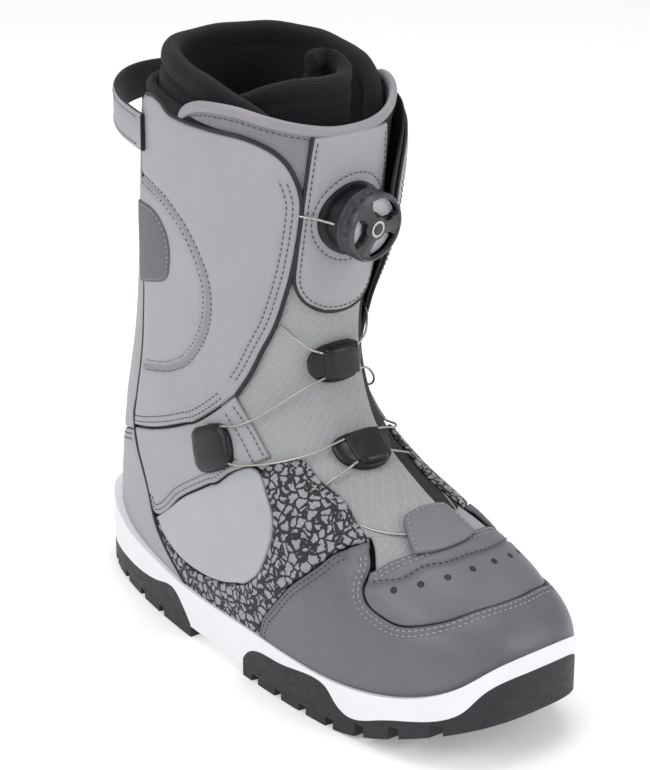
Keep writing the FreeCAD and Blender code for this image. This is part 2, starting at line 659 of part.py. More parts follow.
# ---------------------------------------------------------------- tongue

TONGUE_END = 63      # the tongue stops here, behind the closed vamp
TONGUE_STRIP = [[(-15, 80), (-15, 98), (-17, 120), (-19, 140)], [(-19, 262)], [(19, 262)],
                [(19, 140), (17, 120), (16, 98), (16, 80)]]
BEHIND_HINGE = side_prism([[(-10, 100), (40, 80), (TONGUE_END, 80)], [(TONGUE_END, 290)], [(-10, 290)]])
core_band = layer(size("base_inner"), size("base_outer"))
core_strip = core_band.common(front_prism(TONGUE_STRIP, -10, 100)).common(BEHIND_HINGE)
add_feature("tongue_core", largest(core_strip.cut(dial_channels)))

SHIELD = [[(-19, 262), (-19, 200), (-17, 187), (-9, 179), (2, 177), (12, 179), (17, 186), (19, 199)],
          [(19, 262)]]
shield_prism = front_prism(SHIELD, -10, 60)
add_feature("tongue_shield", largest(layer(size("overlay_inner"), 0).common(shield_prism)))
rim_prism = front_prism([[(-19, 262.4), (19, 262.4)], [(19, 267), (0, 269), (-19, 272)]], -10, 60)
add_feature("tongue_rim", largest(layer(size("base_inner"), GAP).common(rim_prism)))


def tongue_guide(label, centre_y, centre_z, half_width, half_height, channels):
    """An oval plate with a saddle across it that holds the two turns of the lace."""
    def oval(scale_y, scale_z):
        return [[(centre_y + half_width * scale_y * math.cos(math.radians(a)),
                  centre_z + half_height * scale_z * math.sin(math.radians(a))) for a in range(0, 361, 30)]]
    plate = layer(size("guide_inner"), size("guide_plate")).common(front_prism(oval(1, 1), -10, 90))
    saddle = layer(size("guide_inner"), size("guide_outer")).common(front_prism(oval(0.62, 0.95), -10, 90))
    return add_feature(label, largest(plate.fuse(saddle).cut(channels)))


tongue_guide("tongue_guide_upper", -1, 152, 15, 9.5, upper_channels)
tongue_guide("tongue_guide_lower", -1, 115, 15, 6.5, lower_channels)

for side in (LATERAL, MEDIAL):
    web_outline = [[(60, 262), (-16, 258)], shifted(BASE_FRONT[1:], 1, 0), shifted(BASE_THROAT[:5], 1, 1),
                   [(52, 96)], [(60, 110)]]
    strip_space = front_prism([[(y * 1.02, z) for y, z in stroke] for stroke in TONGUE_STRIP], -60, 100)
    web = layer(size("gusset_inner"), size("gusset_outer")).common(side_prism(web_outline, side))
    add_feature(f"gusset_{side}", largest(web.common(half_block(side)).cut(strip_space)))

# ---------------------------------------------------------------- pull loop

LOOP = [(-72, -46), (-92, -41), (-111, -31), (-126, -16), (-131, 0), (-126, 16), (-111, 31), (-92, 41),
        (-72, 46)]


def loop_wire(points, height):
    curve = Part.BSplineCurve()
    curve.interpolate([Vector(x, y, height) for x, y in points])
    return curve.toShape()


outer_edge = loop_wire(LOOP, size("loop_low"))
inner_scale = 1 - size("loop_thickness") / 52
inner_loop = [(LOOP[0][0] + (x - LOOP[0][0]) * inner_scale, y * inner_scale) for x, y in LOOP[::-1]]
inner_edge = loop_wire(inner_loop, size("loop_low"))
ends = [Part.LineSegment(outer_edge.lastVertex().Point, inner_edge.firstVertex().Point).toShape(),
        Part.LineSegment(inner_edge.lastVertex().Point, outer_edge.firstVertex().Point).toShape()]
loop_face = Part.Face(Part.Wire([outer_edge, ends[0], inner_edge, ends[1]]))
loop_band = loop_face.extrude(Vector(0, 0, size("loop_width")))
add_feature("pull_loop", largest(loop_band.cut(form(GAP))))

# ---------------------------------------------------------------- dial

dial_seat = skin(0, size("dial_height"))
dial_lean = Rotation(Vector(0, 1, 0), 90 + size("dial_pitch"))
dial_turn = Rotation(Vector(0, 0, 1), size("dial_yaw")).multiply(dial_lean)
DIAL_PLACE = FreeCAD.Placement(dial_seat, dial_turn)
dial_axis = dial_turn.multVec(Vector(0, 0, 1))


def origin_plane(body, role):
    return [f for f in body.Origin.OriginFeatures if f.Role == role][0]


def in_sheet(term):
    """An expression of size names, with each name pointing at the sheet."""
    return re.sub(r"([a-z][a-z_]+)", r"Sizes.\1", term)


def body_sketch(body, role, name):
    sketch = body.newObject("Sketcher::SketchObject", name)
    sketch.AttachmentSupport = [(origin_plane(body, role), "")]
    sketch.MapMode = "FlatFace"
    return sketch


def bind(sketch, constraint, name, term):
    """A sketch dimension driven by the sheet."""
    index = sketch.addConstraint(constraint)
    sketch.renameConstraint(index, name)
    sketch.setExpression(f"Constraints.{name}", in_sheet(term))


def turned_body(label, profile):
    """A body turned about the dial's axis; each profile corner is a radius and a height over the seat."""
    body = doc.addObject("PartDesign::Body", label)
    body.Label = label
    sketch = body_sketch(body, "XZ_Plane", f"{label}_profile")
    values = [[float(sketch.evalExpression(in_sheet(term))) for term in corner] for corner in profile]
    count = len(values)
    for (r1, z1), (r2, z2) in zip(values, values[1:] + values[:1]):
        sketch.addGeometry(Part.LineSegment(Vector(r1, z1, 0), Vector(r2, z2, 0)))
    for i in range(count):
        sketch.addConstraint(Sketcher.Constraint("Coincident", i, 2, (i + 1) % count, 1))
    for i, (radius_term, height_term) in enumerate(profile):
        radius, height = values[i]
        if radius_term == "0":
            sketch.addConstraint(Sketcher.Constraint("PointOnObject", i, 1, -2))
        else:
            bind(sketch, Sketcher.Constraint("DistanceX", -1, 1, i, 1, radius), f"radius{i}", radius_term)
        bind(sketch, Sketcher.Constraint("DistanceY", -1, 1, i, 1, height), f"height{i}", height_term)
    turn = body.newObject("PartDesign::Revolution", f"{label}_turn")
    turn.Profile = sketch
    turn.ReferenceAxis = (sketch, ["V_Axis"])
    turn.Angle = 360
    body.Placement = DIAL_PLACE
    return body


def plate_pad(body, name, lift_term, length_term, draw):
    """A pad on a plane over the seat, from a sketch that draw fills."""
    sketch = body_sketch(body, "XY_Plane", f"{name}_sketch")
    sketch.setExpression("AttachmentOffset.Base.z", in_sheet(lift_term))
    draw(sketch)
    feature = body.newObject("PartDesign::Pad", name)
    feature.Profile = sketch
    feature.setExpression("Length", in_sheet(length_term))
    return feature


def polar(body, name, features, count):
    """Copies of a feature around the dial's axis."""
    pattern = body.newObject("PartDesign::PolarPattern", name)
    pattern.Originals = features
    pattern.Axis = (origin_plane(body, "Z_Axis"), [""])
    pattern.Angle = 360
    pattern.Occurrences = count
    body.Tip = pattern
    return pattern


housing = turned_body("dial_housing", [
    ("0", "-8"), ("housing_radius", "-8"), ("housing_radius", "housing_top"), ("housing_bore", "housing_top"),
    ("housing_bore", "housing_floor"), ("post_radius", "housing_floor"), ("post_radius", "post_top"),
    ("screw_radius", "post_top"), ("screw_radius", "post_top - screw_length"),
    ("0", "post_top - screw_length")])

flange_post = Part.makeCylinder(size("dial_flange_radius"), 60, Vector(0, 0, -30))
flange_post.Placement = DIAL_PLACE
front_half = Part.makeBox(200, 2 * WIDE, 400, Vector(-10, -WIDE, 0))
flange = doc.addObject("Part::Feature", "dial_flange")
flange.Shape = layer(size("patch_inner"), size("dial_flange_top")).common(flange_post).common(front_half)
underside = doc.addObject("Part::Feature", "dial_underside")
underside.Shape = Part.makeCompound([form(GAP)])
lace_holes = doc.addObject("Part::Feature", "dial_lace_holes")
lace_holes.Shape = dial_channels[0].fuse(dial_channels[1])
seated = doc.addObject("Part::Cut", "dial_seated")
seated.Base = housing
seated.Tool = underside
joined = doc.addObject("Part::Fuse", "dial_joined")
joined.Base = seated
joined.Tool = flange
dial_base = doc.addObject("Part::Cut", "dial_base")
dial_base.Base = joined
dial_base.Tool = lace_holes
dial_base.Label = "dial_base"
NODES.append(dial_base)

BORE = "post_radius + running_gap"
NODES.append(turned_body("dial_spool", [
    (BORE, "spool_low"), ("spool_radius", "spool_low"), ("spool_radius", "spool_low + spool_flange"),
    ("spool_hub", "spool_low + spool_flange"), ("spool_hub", "spool_top - spool_flange"),
    ("spool_radius", "spool_top - spool_flange"), ("spool_radius", "spool_top"), (BORE, "spool_top")]))
NODES.append(turned_body("lace_winding", [
    ("spool_hub", "spool_low + spool_flange"), ("winding_radius", "spool_low + spool_flange"),
    ("winding_radius", "spool_top - spool_flange"), ("spool_hub", "spool_top - spool_flange")]))
NODES.append(turned_body("dial_drive_disc", [
    (BORE, "disc_low"), ("disc_radius", "disc_low"), ("disc_radius", "disc_top"), (BORE, "disc_top")]))
NODES.append(turned_body("dial_screw", [
    ("0", "post_top - screw_length"), ("screw_radius", "post_top - screw_length"),
    ("screw_radius", "post_top"), ("screw_head", "post_top"), ("screw_head", "screw_head_top"),
    ("0", "screw_head_top")]))

knob = turned_body("dial_knob", [
    ("knob_rim", "knob_plate"), ("knob_bore", "knob_plate"), ("knob_bore", "knob_low"),
    ("knob_radius", "knob_low"), ("knob_radius", "knob_top - 1"), ("knob_radius - 1", "knob_top"),
    ("knob_rim", "knob_top")])


def draw_arm(sketch):
    """A straight arm from the axis into the rim."""
    half, reach = size("arm_width") / 2, size("knob_rim") + 1
    corners = [(0, -half), (reach, -half), (reach, half), (0, half)]
    for (x1, y1), (x2, y2) in zip(corners, corners[1:] + corners[:1]):
        sketch.addGeometry(Part.LineSegment(Vector(x1, y1, 0), Vector(x2, y2, 0)))
    for i in range(4):
        sketch.addConstraint(Sketcher.Constraint("Coincident", i, 2, (i + 1) % 4, 1))
        sketch.addConstraint(Sketcher.Constraint("Vertical" if i % 2 else "Horizontal", i))
    sketch.addConstraint(Sketcher.Constraint("Symmetric", 3, 1, 3, 2, -1, 1))
    bind(sketch, Sketcher.Constraint("DistanceY", 1, 1, 1, 2, 2 * half), "width", "arm_width")
    bind(sketch, Sketcher.Constraint("DistanceX", 0, 1, 0, 2, reach), "reach", "knob_rim + 1")


def draw_hub(sketch):
    sketch.addGeometry(Part.Circle(Vector(0, 0, 0), Vector(0, 0, 1), size("knob_hub")))
    sketch.addConstraint(Sketcher.Constraint("Coincident", 0, 3, -1, 1))
    bind(sketch, Sketcher.Constraint("Radius", 0, size("knob_hub")), "hub", "knob_hub")


arm = plate_pad(knob, "knob_arm", "knob_plate", "knob_top - knob_plate - 1.2", draw_arm)
polar(knob, "knob_arms", [arm], 3)
hub = plate_pad(knob, "knob_hub_pad", "knob_plate", "knob_top - knob_plate - 0.6", draw_hub)

notch_sketch = body_sketch(knob, "XY_Plane", "knob_notch_sketch")
notch_centre = Vector(size("knob_radius"), 0, 0)
notch_sketch.addGeometry(Part.Circle(notch_centre, Vector(0, 0, 1), size("notch_radius")))
notch_sketch.addConstraint(Sketcher.Constraint("PointOnObject", 0, 3, -1))
notch_place = Sketcher.Constraint("DistanceX", -1, 1, 0, 3, size("knob_radius"))
bind(notch_sketch, notch_place, "place", "knob_radius")
bind(notch_sketch, Sketcher.Constraint("Radius", 0, size("notch_radius")), "notch", "notch_radius")
notch = knob.newObject("PartDesign::Pocket", "knob_notch")
notch.Profile = notch_sketch
notch.Reversed = True
notch.setExpression("Length", in_sheet("knob_top - 1.5"))
doc.recompute()
plain_volume = hub.Shape.Volume
polar(knob, "knob_notches", [notch], int(size("notch_count")))
NODES.append(knob)
doc.recompute()
if knob.Shape.Volume > plain_volume - 1:
    raise RuntimeError("the knob's notches cut nothing")

# ---------------------------------------------------------------- checks and export

for item in doc.Objects:
    if {"Invalid", "Error"} & set(item.State):
        raise RuntimeError(f"{item.Label} failed: {item.State}")
for node in NODES:
    if node.Shape.isNull() or not node.Shape.isValid() or not node.Shape.Solids:
        raise RuntimeError(f"{node.Label} has no valid solid")
for node in NODES:
    node.Shape.exportStep(f"parts/{node.Label}.step")
    print(f"{node.Label:24s} {len(node.Shape.Solids)} solid(s) {node.Shape.Volume:10.0f} mm3")
box = Part.makeCompound([node.Shape for node in NODES]).BoundBox
print(f"{len(NODES)} nodes, box {box}, dial seat {dial_seat}, dial axis {dial_axis}")
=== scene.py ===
import json
import math

import bpy
import numpy as np
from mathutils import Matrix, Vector
from mathutils.geometry import delaunay_2d_cdt


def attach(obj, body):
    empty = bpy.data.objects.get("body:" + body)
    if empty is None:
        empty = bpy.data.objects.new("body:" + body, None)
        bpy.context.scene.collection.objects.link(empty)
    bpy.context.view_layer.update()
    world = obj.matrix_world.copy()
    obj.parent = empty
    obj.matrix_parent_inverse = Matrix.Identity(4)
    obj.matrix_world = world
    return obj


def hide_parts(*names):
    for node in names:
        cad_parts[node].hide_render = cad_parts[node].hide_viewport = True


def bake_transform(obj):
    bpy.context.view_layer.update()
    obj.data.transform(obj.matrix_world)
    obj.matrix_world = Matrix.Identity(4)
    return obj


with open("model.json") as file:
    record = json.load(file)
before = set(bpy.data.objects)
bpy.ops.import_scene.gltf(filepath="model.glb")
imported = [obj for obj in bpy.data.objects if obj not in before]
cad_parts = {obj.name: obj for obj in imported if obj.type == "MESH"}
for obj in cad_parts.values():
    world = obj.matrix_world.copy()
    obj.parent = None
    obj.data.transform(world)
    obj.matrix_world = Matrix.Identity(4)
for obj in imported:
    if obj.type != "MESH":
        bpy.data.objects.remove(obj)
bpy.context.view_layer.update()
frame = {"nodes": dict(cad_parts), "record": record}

MM = 0.001
LATERAL, MEDIAL = -1, 1
SIDES = (("lateral", LATERAL), ("medial", MEDIAL))

# ---------------------------------------------------------------- the boot's form, in millimetres

# height, heel end, toe end, half width, roundness at the heel and toe, widening towards the toe
LEVELS = np.array([
    (20, -146, 148, 49.0, 2.4, 2.7, 0.17), (45, -145, 150, 49.5, 2.4, 2.65, 0.17),
    (60, -144, 144, 48.5, 2.35, 2.55, 0.16), (74, -142, 122, 47.0, 2.3, 2.45, 0.13),
    (86, -139, 97, 45.5, 2.2, 2.35, 0.10), (98, -135, 67, 44.0, 2.2, 2.25, 0.06),
    (115, -129, 38, 42.0, 2.2, 2.2, 0.03), (140, -121, 21, 41.0, 2.2, 2.2, 0.0),
    (170, -114, 18, 43.0, 2.2, 2.2, 0.0), (205, -106.5, 24, 47.5, 2.2, 2.2, 0.0),
    (250, -98, 28, 52.0, 2.2, 2.2, 0.0), (300, -90, 30, 54.0, 2.2, 2.2, 0.0)])


def section(z):
    """Section values at heights z: a cubic through the levels."""
    last = len(LEVELS) - 1
    i = np.clip(np.searchsorted(LEVELS[1:, 0], z, side="right"), 0, last - 1)
    low, high = LEVELS[i], LEVELS[i + 1]
    before, after = LEVELS[np.maximum(i - 1, 0)], LEVELS[np.minimum(i + 2, last)]
    span = (high[:, 0] - low[:, 0])[:, None]
    u = (z - low[:, 0])[:, None] / span
    slope_low = (high - before) / (high[:, :1] - before[:, :1]) * span
    slope_high = (after - low) / (after[:, :1] - low[:, :1]) * span
    value = ((2 * u**3 - 3 * u**2 + 1) * low + (u**3 - 2 * u**2 + u) * slope_low
             + (3 * u**2 - 2 * u**3) * high + (u**3 - u**2) * slope_high)
    return value[:, 1:].T


def skin(tz):
    """Points of the outer skin.  Angle 0 is the front, 180 the back, negative the lateral side."""
    tz = np.atleast_2d(np.asarray(tz, float))
    t, z = np.radians(tz[:, 0]), tz[:, 1]
    heel, toe, half, heel_round, toe_round, widening = section(z)
    c, s = np.cos(t), np.sin(t)
    power = 2.0 / np.where(c > 0, toe_round, heel_round)
    along, across = np.sign(c) * np.abs(c) ** power, np.sign(s) * np.abs(s) ** power
    x = (toe + heel) / 2 + (toe - heel) / 2 * along
    fade = np.clip((125.0 - z) / 60.0, 0, 1)
    fade = fade * fade * (3 - 2 * fade)
    turn = fade * 8.0 * np.maximum(0.0, (x + 20.0) / 170.0) ** 2
    y = half * across * (1 + widening * along) + turn
    return np.stack([x, y, z], 1)


def slopes(tz):
    """How a skin point moves with the angle and with the height."""
    tz = np.atleast_2d(np.asarray(tz, float))
    dt, dz = np.array([0.4, 0.0]), np.array([0.0, 0.4])
    return (skin(tz + dt) - skin(tz - dt)) / 0.8, (skin(tz + dz) - skin(tz - dz)) / 0.8


def unit(v):
    return v / np.maximum(np.linalg.norm(v, axis=-1, keepdims=True), 1e-9)


def normals(tz):
    by_angle, by_height = slopes(tz)
    return unit(np.cross(by_angle, by_height))


def at(tz, height):
    """Points a height over the skin."""
    height = np.asarray(height, float)
    return skin(tz) + normals(tz) * (height[:, None] if height.ndim else height)


def side(points, hand):
    """Side-view points (x, z) put on one side of the form, as (angle, height)."""
    x, z = np.array(points, float).T
    heel, toe, half, heel_round, toe_round, widening = section(z)
    reach = np.clip((x - (toe + heel) / 2) / ((toe - heel) / 2), -1, 1)
    c = np.sign(reach) * np.abs(reach) ** (np.where(reach > 0, toe_round, heel_round) / 2)
    return np.stack([hand * np.degrees(np.arccos(c)), z], 1)


def place(points):
    """The skin's (angle, height) nearest to each point (x, y, z)."""
    points = np.atleast_2d(np.array(points, float))
    grid = np.array([(t, z) for t in range(-180, 181, 4) for z in range(22, 292, 4)], float)
    spots = skin(grid)
    best = np.array([grid[np.argmin(((spots - p) ** 2).sum(1))] for p in points])
    for _ in range(8):
        by_angle, by_height = slopes(best)
        off = points - skin(best)
        step = solve(by_angle, by_height, off)
        best = best + np.clip(step, -6, 6)
        best[:, 1] = np.clip(best[:, 1], 20, 299)
    return best


def front(points):
    """Front-view points (y, z) put on the front of the form."""
    points = np.array(points, float)
    tz = np.stack([points[:, 0] * 0.9, points[:, 1]], 1)
    for _ in range(12):
        by_angle, _ = slopes(tz)
        tz[:, 0] += np.clip((points[:, 0] - skin(tz)[:, 1]) / np.maximum(by_angle[:, 1], 0.2), -8, 8)
    return tz


def solve(a, b, target):
    """Least-squares u, v with a*u + b*v = target, row by row."""
    aa, ab, bb = (a * a).sum(1), (a * b).sum(1), (b * b).sum(1)
    at_, bt = (a * target).sum(1), (b * target).sum(1)
    det = np.maximum(aa * bb - ab * ab, 1e-9)
    return np.stack([(bb * at_ - ab * bt) / det, (aa * bt - ab * at_) / det], 1)


# ---------------------------------------------------------------- curves on the form

def curve(points, step=1.0, space=skin):
    """A smooth curve through points of any dimension, with a point about every step millimetres."""
    p = np.array(points, float)
    if len(p) > 2:
        ends = np.vstack([2 * p[0] - p[1], p, 2 * p[-1] - p[-2]])
        u = np.linspace(0, 1, 13)[:-1, None]
        fine = [0.5 * (2 * b + (c - a) * u + (2 * a - 5 * b + 4 * c - d) * u**2 + (3 * b - a - 3 * c + d) * u**3)
                for a, b, c, d in zip(ends, ends[1:], ends[2:], ends[3:])]
        p = np.vstack(fine + [p[-1:]])
    else:
        p = p[0] + (p[1] - p[0]) * np.linspace(0, 1, 13)[:, None]
    return resample(p, step, space)


def resample(p, step, space=skin):
    lengths = np.linalg.norm(np.diff(space(p), axis=0), axis=1)
    run = np.concatenate([[0], np.cumsum(lengths)])
    count = max(2, int(round(run[-1] / step)) + 1)
    marks = np.linspace(0, run[-1], count)
    return np.stack([np.interp(marks, run, p[:, k]) for k in range(p.shape[1])], 1)


def outline(strokes, step=1.0):
    """A closed outline: each stroke is a smooth curve, and strokes meet at corners."""
    parts = []
    for i, stroke in enumerate(strokes):
        following = strokes[(i + 1) % len(strokes)]
        parts.append(curve(stroke, step)[:-1] if len(stroke) > 1 else np.array(stroke, float))
        gap = np.array([stroke[-1], following[0]], float)
        if np.linalg.norm(np.diff(skin(gap), axis=0)) > 0.3:
            parts.append(curve(gap, step)[:-1])
    loop = np.vstack(parts)
    area = np.sum(loop[:, 0] * np.roll(loop[:, 1], -1) - np.roll(loop[:, 0], -1) * loop[:, 1])
    return loop if area > 0 else loop[::-1]


def shift(tz, distance, closed=False):
    """A curve moved sideways over the skin, to its left as seen from outside."""
    out = np.array(tz, float)
    rounds = max(1, int(math.ceil(abs(distance) / 1.5)))
    for _ in range(rounds):
        p = skin(out)
        if closed:
            along = np.roll(p, -1, 0) - np.roll(p, 1, 0)
        else:
            along = np.gradient(p, axis=0)
        left = unit(np.cross(normals(out), unit(along)))
        by_angle, by_height = slopes(out)
        out = out + solve(by_angle, by_height, left * distance / rounds)
    return out


def gap_to(points, line, closed=False):
    """Distance from points to a polyline, all in three dimensions."""
    ends = np.vstack([line, line[:1]]) if closed else line
    a, b = ends[:-1], ends[1:]
    best = np.full(len(points), 1e9)
    run = b - a
    size = np.maximum((run * run).sum(1), 1e-9)
    for first in range(0, len(points), 600):
        part = points[first:first + 600]
        u = np.clip(((part[:, None] - a) * run).sum(2) / size, 0, 1)
        near = a + run * u[:, :, None]
        best[first:first + 600] = np.sqrt(((part[:, None] - near) ** 2).sum(2).min(1))
    return best


def inside(points, loop):
    x, y = points.T
    hit = np.zeros(len(points), bool)
    for (x0, y0), (x1, y1) in zip(loop, np.roll(loop, -1, 0)):
        crosses = (y0 > y) != (y1 > y)
        if abs(y1 - y0) > 1e-12:
            hit ^= crosses & (x < (x1 - x0) * (y - y0) / (y1 - y0) + x0)
    return hit


# ---------------------------------------------------------------- meshes

SURFACES = {}


def mesh_object(name, vertices, faces, material, attributes=None, smooth=True):
    """An object from millimetre vertices, with named float values on its points."""
    data = bpy.data.meshes.new(name)
    data.from_pydata([tuple(v) for v in np.asarray(vertices) * MM], [], [tuple(f) for f in faces])
    for key, values in (attributes or {}).items():
        values = np.asarray(values, np.float32)
        kind = "FLOAT" if values.ndim == 1 else "FLOAT_VECTOR"
        layer = data.attributes.new(key, kind, "POINT")
        layer.data.foreach_set("value" if values.ndim == 1 else "vector", values.ravel())
    data.update()
    for polygon in data.polygons:
        polygon.use_smooth = smooth
    data.materials.append(material)
    made = bpy.data.objects.new(name, data)
    bpy.context.scene.collection.objects.link(made)
    return made


def panel(name, strokes, material, top=0.0, bottom=-1.7, rounding=0.7, crown=(0.0, 8.0), grid=2.2,
          grooves=(), swell=None, lift=None, step=1.0, holes=()):
    """A sewn panel on the form.  Its edge is rounded, it swells by crown[0] over crown[1] mm from its edge,
    and each groove (curve, depth, half width) presses a line into it."""
    loop = outline(strokes, step)
    by_angle, by_height = slopes(loop)
    scale = np.array([np.median(np.linalg.norm(by_angle, axis=1)),
                      np.median(np.linalg.norm(by_height, axis=1))])
    edge3 = skin(loop)
    hole_loops = [np.asarray(h) for h in holes]
    inner = []
    for distance in (0.25, 0.8, 1.5):
        ring = shift(loop, distance, closed=True)
        inner.append(ring[gap_to(skin(ring), edge3, True) > 0.9 * distance])
        for h in hole_loops:
            inner.append(shift(h, -distance, closed=True))
    lines = []
    for line, depth, width in grooves:
        line = resample(np.asarray(line), step)
        lines.append((skin(line), depth, width))
        for sideways in (-width, 0.0, width):
            moved = shift(line, sideways)
            keep = inside(moved * scale, loop * scale) & (gap_to(skin(moved), edge3, True) > 0.5)
            inner.append(moved[keep])
    low, high = loop.min(0) * scale, loop.max(0) * scale
    rows = np.arange(low[1], high[1] + grid, grid * 0.87)
    mesh_points = [(low[0] + grid * (k + 0.5 * (j % 2)), v) for j, v in enumerate(rows)
                   for k in range(int((high[0] - low[0]) / grid) + 2)]
    fill = np.array(mesh_points) / scale
    fill = fill[inside(fill * scale, loop * scale)]
    fill = fill[gap_to(skin(fill), edge3, True) > 2.2]
    taken = np.vstack(inner) if inner else np.empty((0, 2))
    if lines:
        for line3, _, width in lines:
            fill = fill[gap_to(skin(fill), line3) > width + 0.9]
    for h in hole_loops:
        keep = (gap_to(skin(fill), skin(h), True) > 2.0) & ~inside(fill * scale, h * scale)
        fill = fill[keep]
        taken = taken[~inside(taken * scale, h * scale)]
    chart = np.vstack([loop] + hole_loops + [taken, fill])
    edges, first = [], 0
    for ring in [loop] + hole_loops:
        edges += [(first + i, first + (i + 1) % len(ring)) for i in range(len(ring))]
        first += len(ring)
    made = delaunay_2d_cdt([Vector(p) for p in chart * scale], edges, [], 1, 1e-4)
    chart = np.array([tuple(v) for v in made[0]]) / scale
    triangles = np.array([f for f in made[2] if len(f) == 3])
    if len(hole_loops):
        centres = chart[triangles].mean(1)
        keep = np.ones(len(triangles), bool)
        for h in hole_loops:
            keep &= ~inside(centres * scale, h * scale)
        triangles = triangles[keep]
    spots = skin(chart)
    edge = gap_to(spots, edge3, True)
    for h in hole_loops:
        edge = np.minimum(edge, gap_to(spots, skin(h), True))
    height = np.full(len(chart), float(top))
    near = np.clip(edge / rounding, 0, 1)
    height -= rounding * (1 - np.sqrt(1 - (1 - near) ** 2))
    reach = np.clip(edge / crown[1], 0, 1)
    height += crown[0] * (1 - (1 - reach) ** 2.2)
    press = np.zeros(len(chart))
    for line3, depth, width in lines:
        press = np.maximum(press, depth * np.exp(-(gap_to(spots, line3) / width) ** 2))
    height -= press
    if swell is not None:
        height += swell(chart, spots)
    n = normals(chart)
    raised = lift(chart, spots) if lift is not None else np.zeros(len(chart))
    height = height + raised
    upper = spots + n * height[:, None]
    lower = spots + n * (bottom + raised)[:, None]
    count = len(chart)
    turned = triangles if orientation(chart, triangles) else triangles[:, ::-1]
    faces = [tuple(f) for f in turned] + [tuple(f[::-1] + count) for f in turned]
    faces += [(a, a + count, b + count, b) for a, b in border(turned)]
    values = {"edge": np.tile(edge, 2), "press": np.tile(press, 2),
              "chart": np.tile(np.column_stack([chart * scale, np.zeros(count)]), (2, 1))}
    made = mesh_object(name, np.vstack([upper, lower]), faces, material, values)
    SURFACES[made.name] = (spots, height)
    return made


def height_on(piece, row, extra=0.0):
    """Height of a panel's face along a curve."""
    spots, height = SURFACES[piece.name]
    near = [int(np.argmin(((spots - p) ** 2).sum(1))) for p in skin(row)]
    return height[near] + extra


def orientation(chart, triangles):
    a, b, c = (chart[triangles[:, k]] for k in range(3))
    return np.sum((b[:, 0] - a[:, 0]) * (c[:, 1] - a[:, 1]) - (b[:, 1] - a[:, 1]) * (c[:, 0] - a[:, 0])) > 0


def border(triangles):
    """Directed edges that only one triangle uses."""
    used = {}
    for f in triangles:
        for a, b in ((f[0], f[1]), (f[1], f[2]), (f[2], f[0])):
            used[(int(a), int(b))] = True
    return [(a, b) for a, b in used if (b, a) not in used]


def sweep(path, profile, closed_profile=True, ups=None, twist=None, cap=True):
    """A profile carried along a path of points.  profile is (n, 2), or one such set for each point."""
    path = np.asarray(path, float)
    along = unit(np.gradient(path, axis=0))
    if ups is None:
        up = np.zeros_like(path)
        start = np.array([0, 0, 1.0]) if abs(along[0, 2]) < 0.9 else np.array([1.0, 0, 0])
        up[0] = unit(start - along[0] * start.dot(along[0]))
        for i in range(1, len(path)):
            v = up[i - 1] - along[i] * up[i - 1].dot(along[i])
            up[i] = unit(v)
    else:
        up = unit(ups - along * (ups * along).sum(1)[:, None])
    across = np.cross(up, along)
    shape = np.asarray(profile, float)
    if shape.ndim == 2:
        shape = np.repeat(shape[None], len(path), 0)
    if twist is not None:
        c, s = np.cos(twist)[:, None], np.sin(twist)[:, None]
        shape = np.stack([shape[:, :, 0] * c - shape[:, :, 1] * s, shape[:, :, 0] * s + shape[:, :, 1] * c], 2)
    points = path[:, None] + across[:, None] * shape[:, :, :1] + up[:, None] * shape[:, :, 1:]
    rows, n = points.shape[:2]
    faces = []
    for i in range(rows - 1):
        for k in range(n if closed_profile else n - 1):
            m = (k + 1) % n
            faces.append((i * n + k, i * n + m, (i + 1) * n + m, (i + 1) * n + k))
    if cap and closed_profile:
        faces.append(tuple(range(n))[::-1])
        faces.append(tuple((rows - 1) * n + k for k in range(n)))
    return points.reshape(-1, 3), faces


def ring_faces(rings, count):
    """Faces between closed rings of the same number of points."""
    return [(i * count + k, i * count + (k + 1) % count, (i + 1) * count + (k + 1) % count, (i + 1) * count + k)
            for i in range(rings - 1) for k in range(count)]


def grid_faces(rows, count):
    """Faces of an open grid of rows of the same number of points."""
    return [(i * count + k, (i + 1) * count + k, (i + 1) * count + k + 1, i * count + k + 1)
            for i in range(rows - 1) for k in range(count - 1)]


def joined(parts):
    """Several (vertices, faces) as one."""
    vertices, faces, first = [], [], 0
    for v, f in parts:
        vertices.append(v)
        faces += [tuple(i + first for i in face) for face in f]
        first += len(v)
    return np.vstack(vertices), faces


def ring_profile(radius, count=12, squash=1.0):
    a = np.linspace(0, 2 * np.pi, count, endpoint=False)
    return np.stack([radius * np.cos(a), radius * squash * np.sin(a)], 1)


def thread(row, height, length=2.0, pitch=2.9, radius=0.27):
    """Stitches along a curve on the form: short rounded threads that dip into the surface at their ends."""
    row = np.asarray(row)
    count = int(np.linalg.norm(np.diff(skin(row), axis=0), axis=1).sum() / pitch)
    if count < 1:
        return []
    marks = resample(row, pitch / 4)
    parts = []
    heights = np.broadcast_to(np.asarray(height, float), (len(marks),)) if np.ndim(height) == 0 else \
        np.interp(np.linspace(0, 1, len(marks)), np.linspace(0, 1, len(height)), height)
    taper = np.array([0.25, 0.8, 1.0, 0.8, 0.25])
    dip = np.array([-0.35, 0.05, 0.15, 0.05, -0.35])
    for k in range(0, len(marks) - 3, 4):
        span = marks[k:k + 4]
        share = np.linspace(0, length / pitch, 5) * (len(span) - 1) * (4 / 3)
        spots = np.stack([np.interp(np.clip(share, 0, 3), np.arange(4), span[:, j]) for j in (0, 1)], 1)
        path = at(spots, heights[k] + dip * radius * 2.5)
        shape = np.array([ring_profile(radius * s, 6) for s in taper])
        parts.append(sweep(path, shape, ups=normals(spots)))
    return parts


# ---------------------------------------------------------------- materials

def rgb(r, g, b):
    """A display colour, 0 to 255, as linear light."""
    return tuple(v / 3294.6 if v <= 10.3 else ((v / 255 + 0.055) / 1.055) ** 2.4 for v in (r, g, b)) + (1.0,)


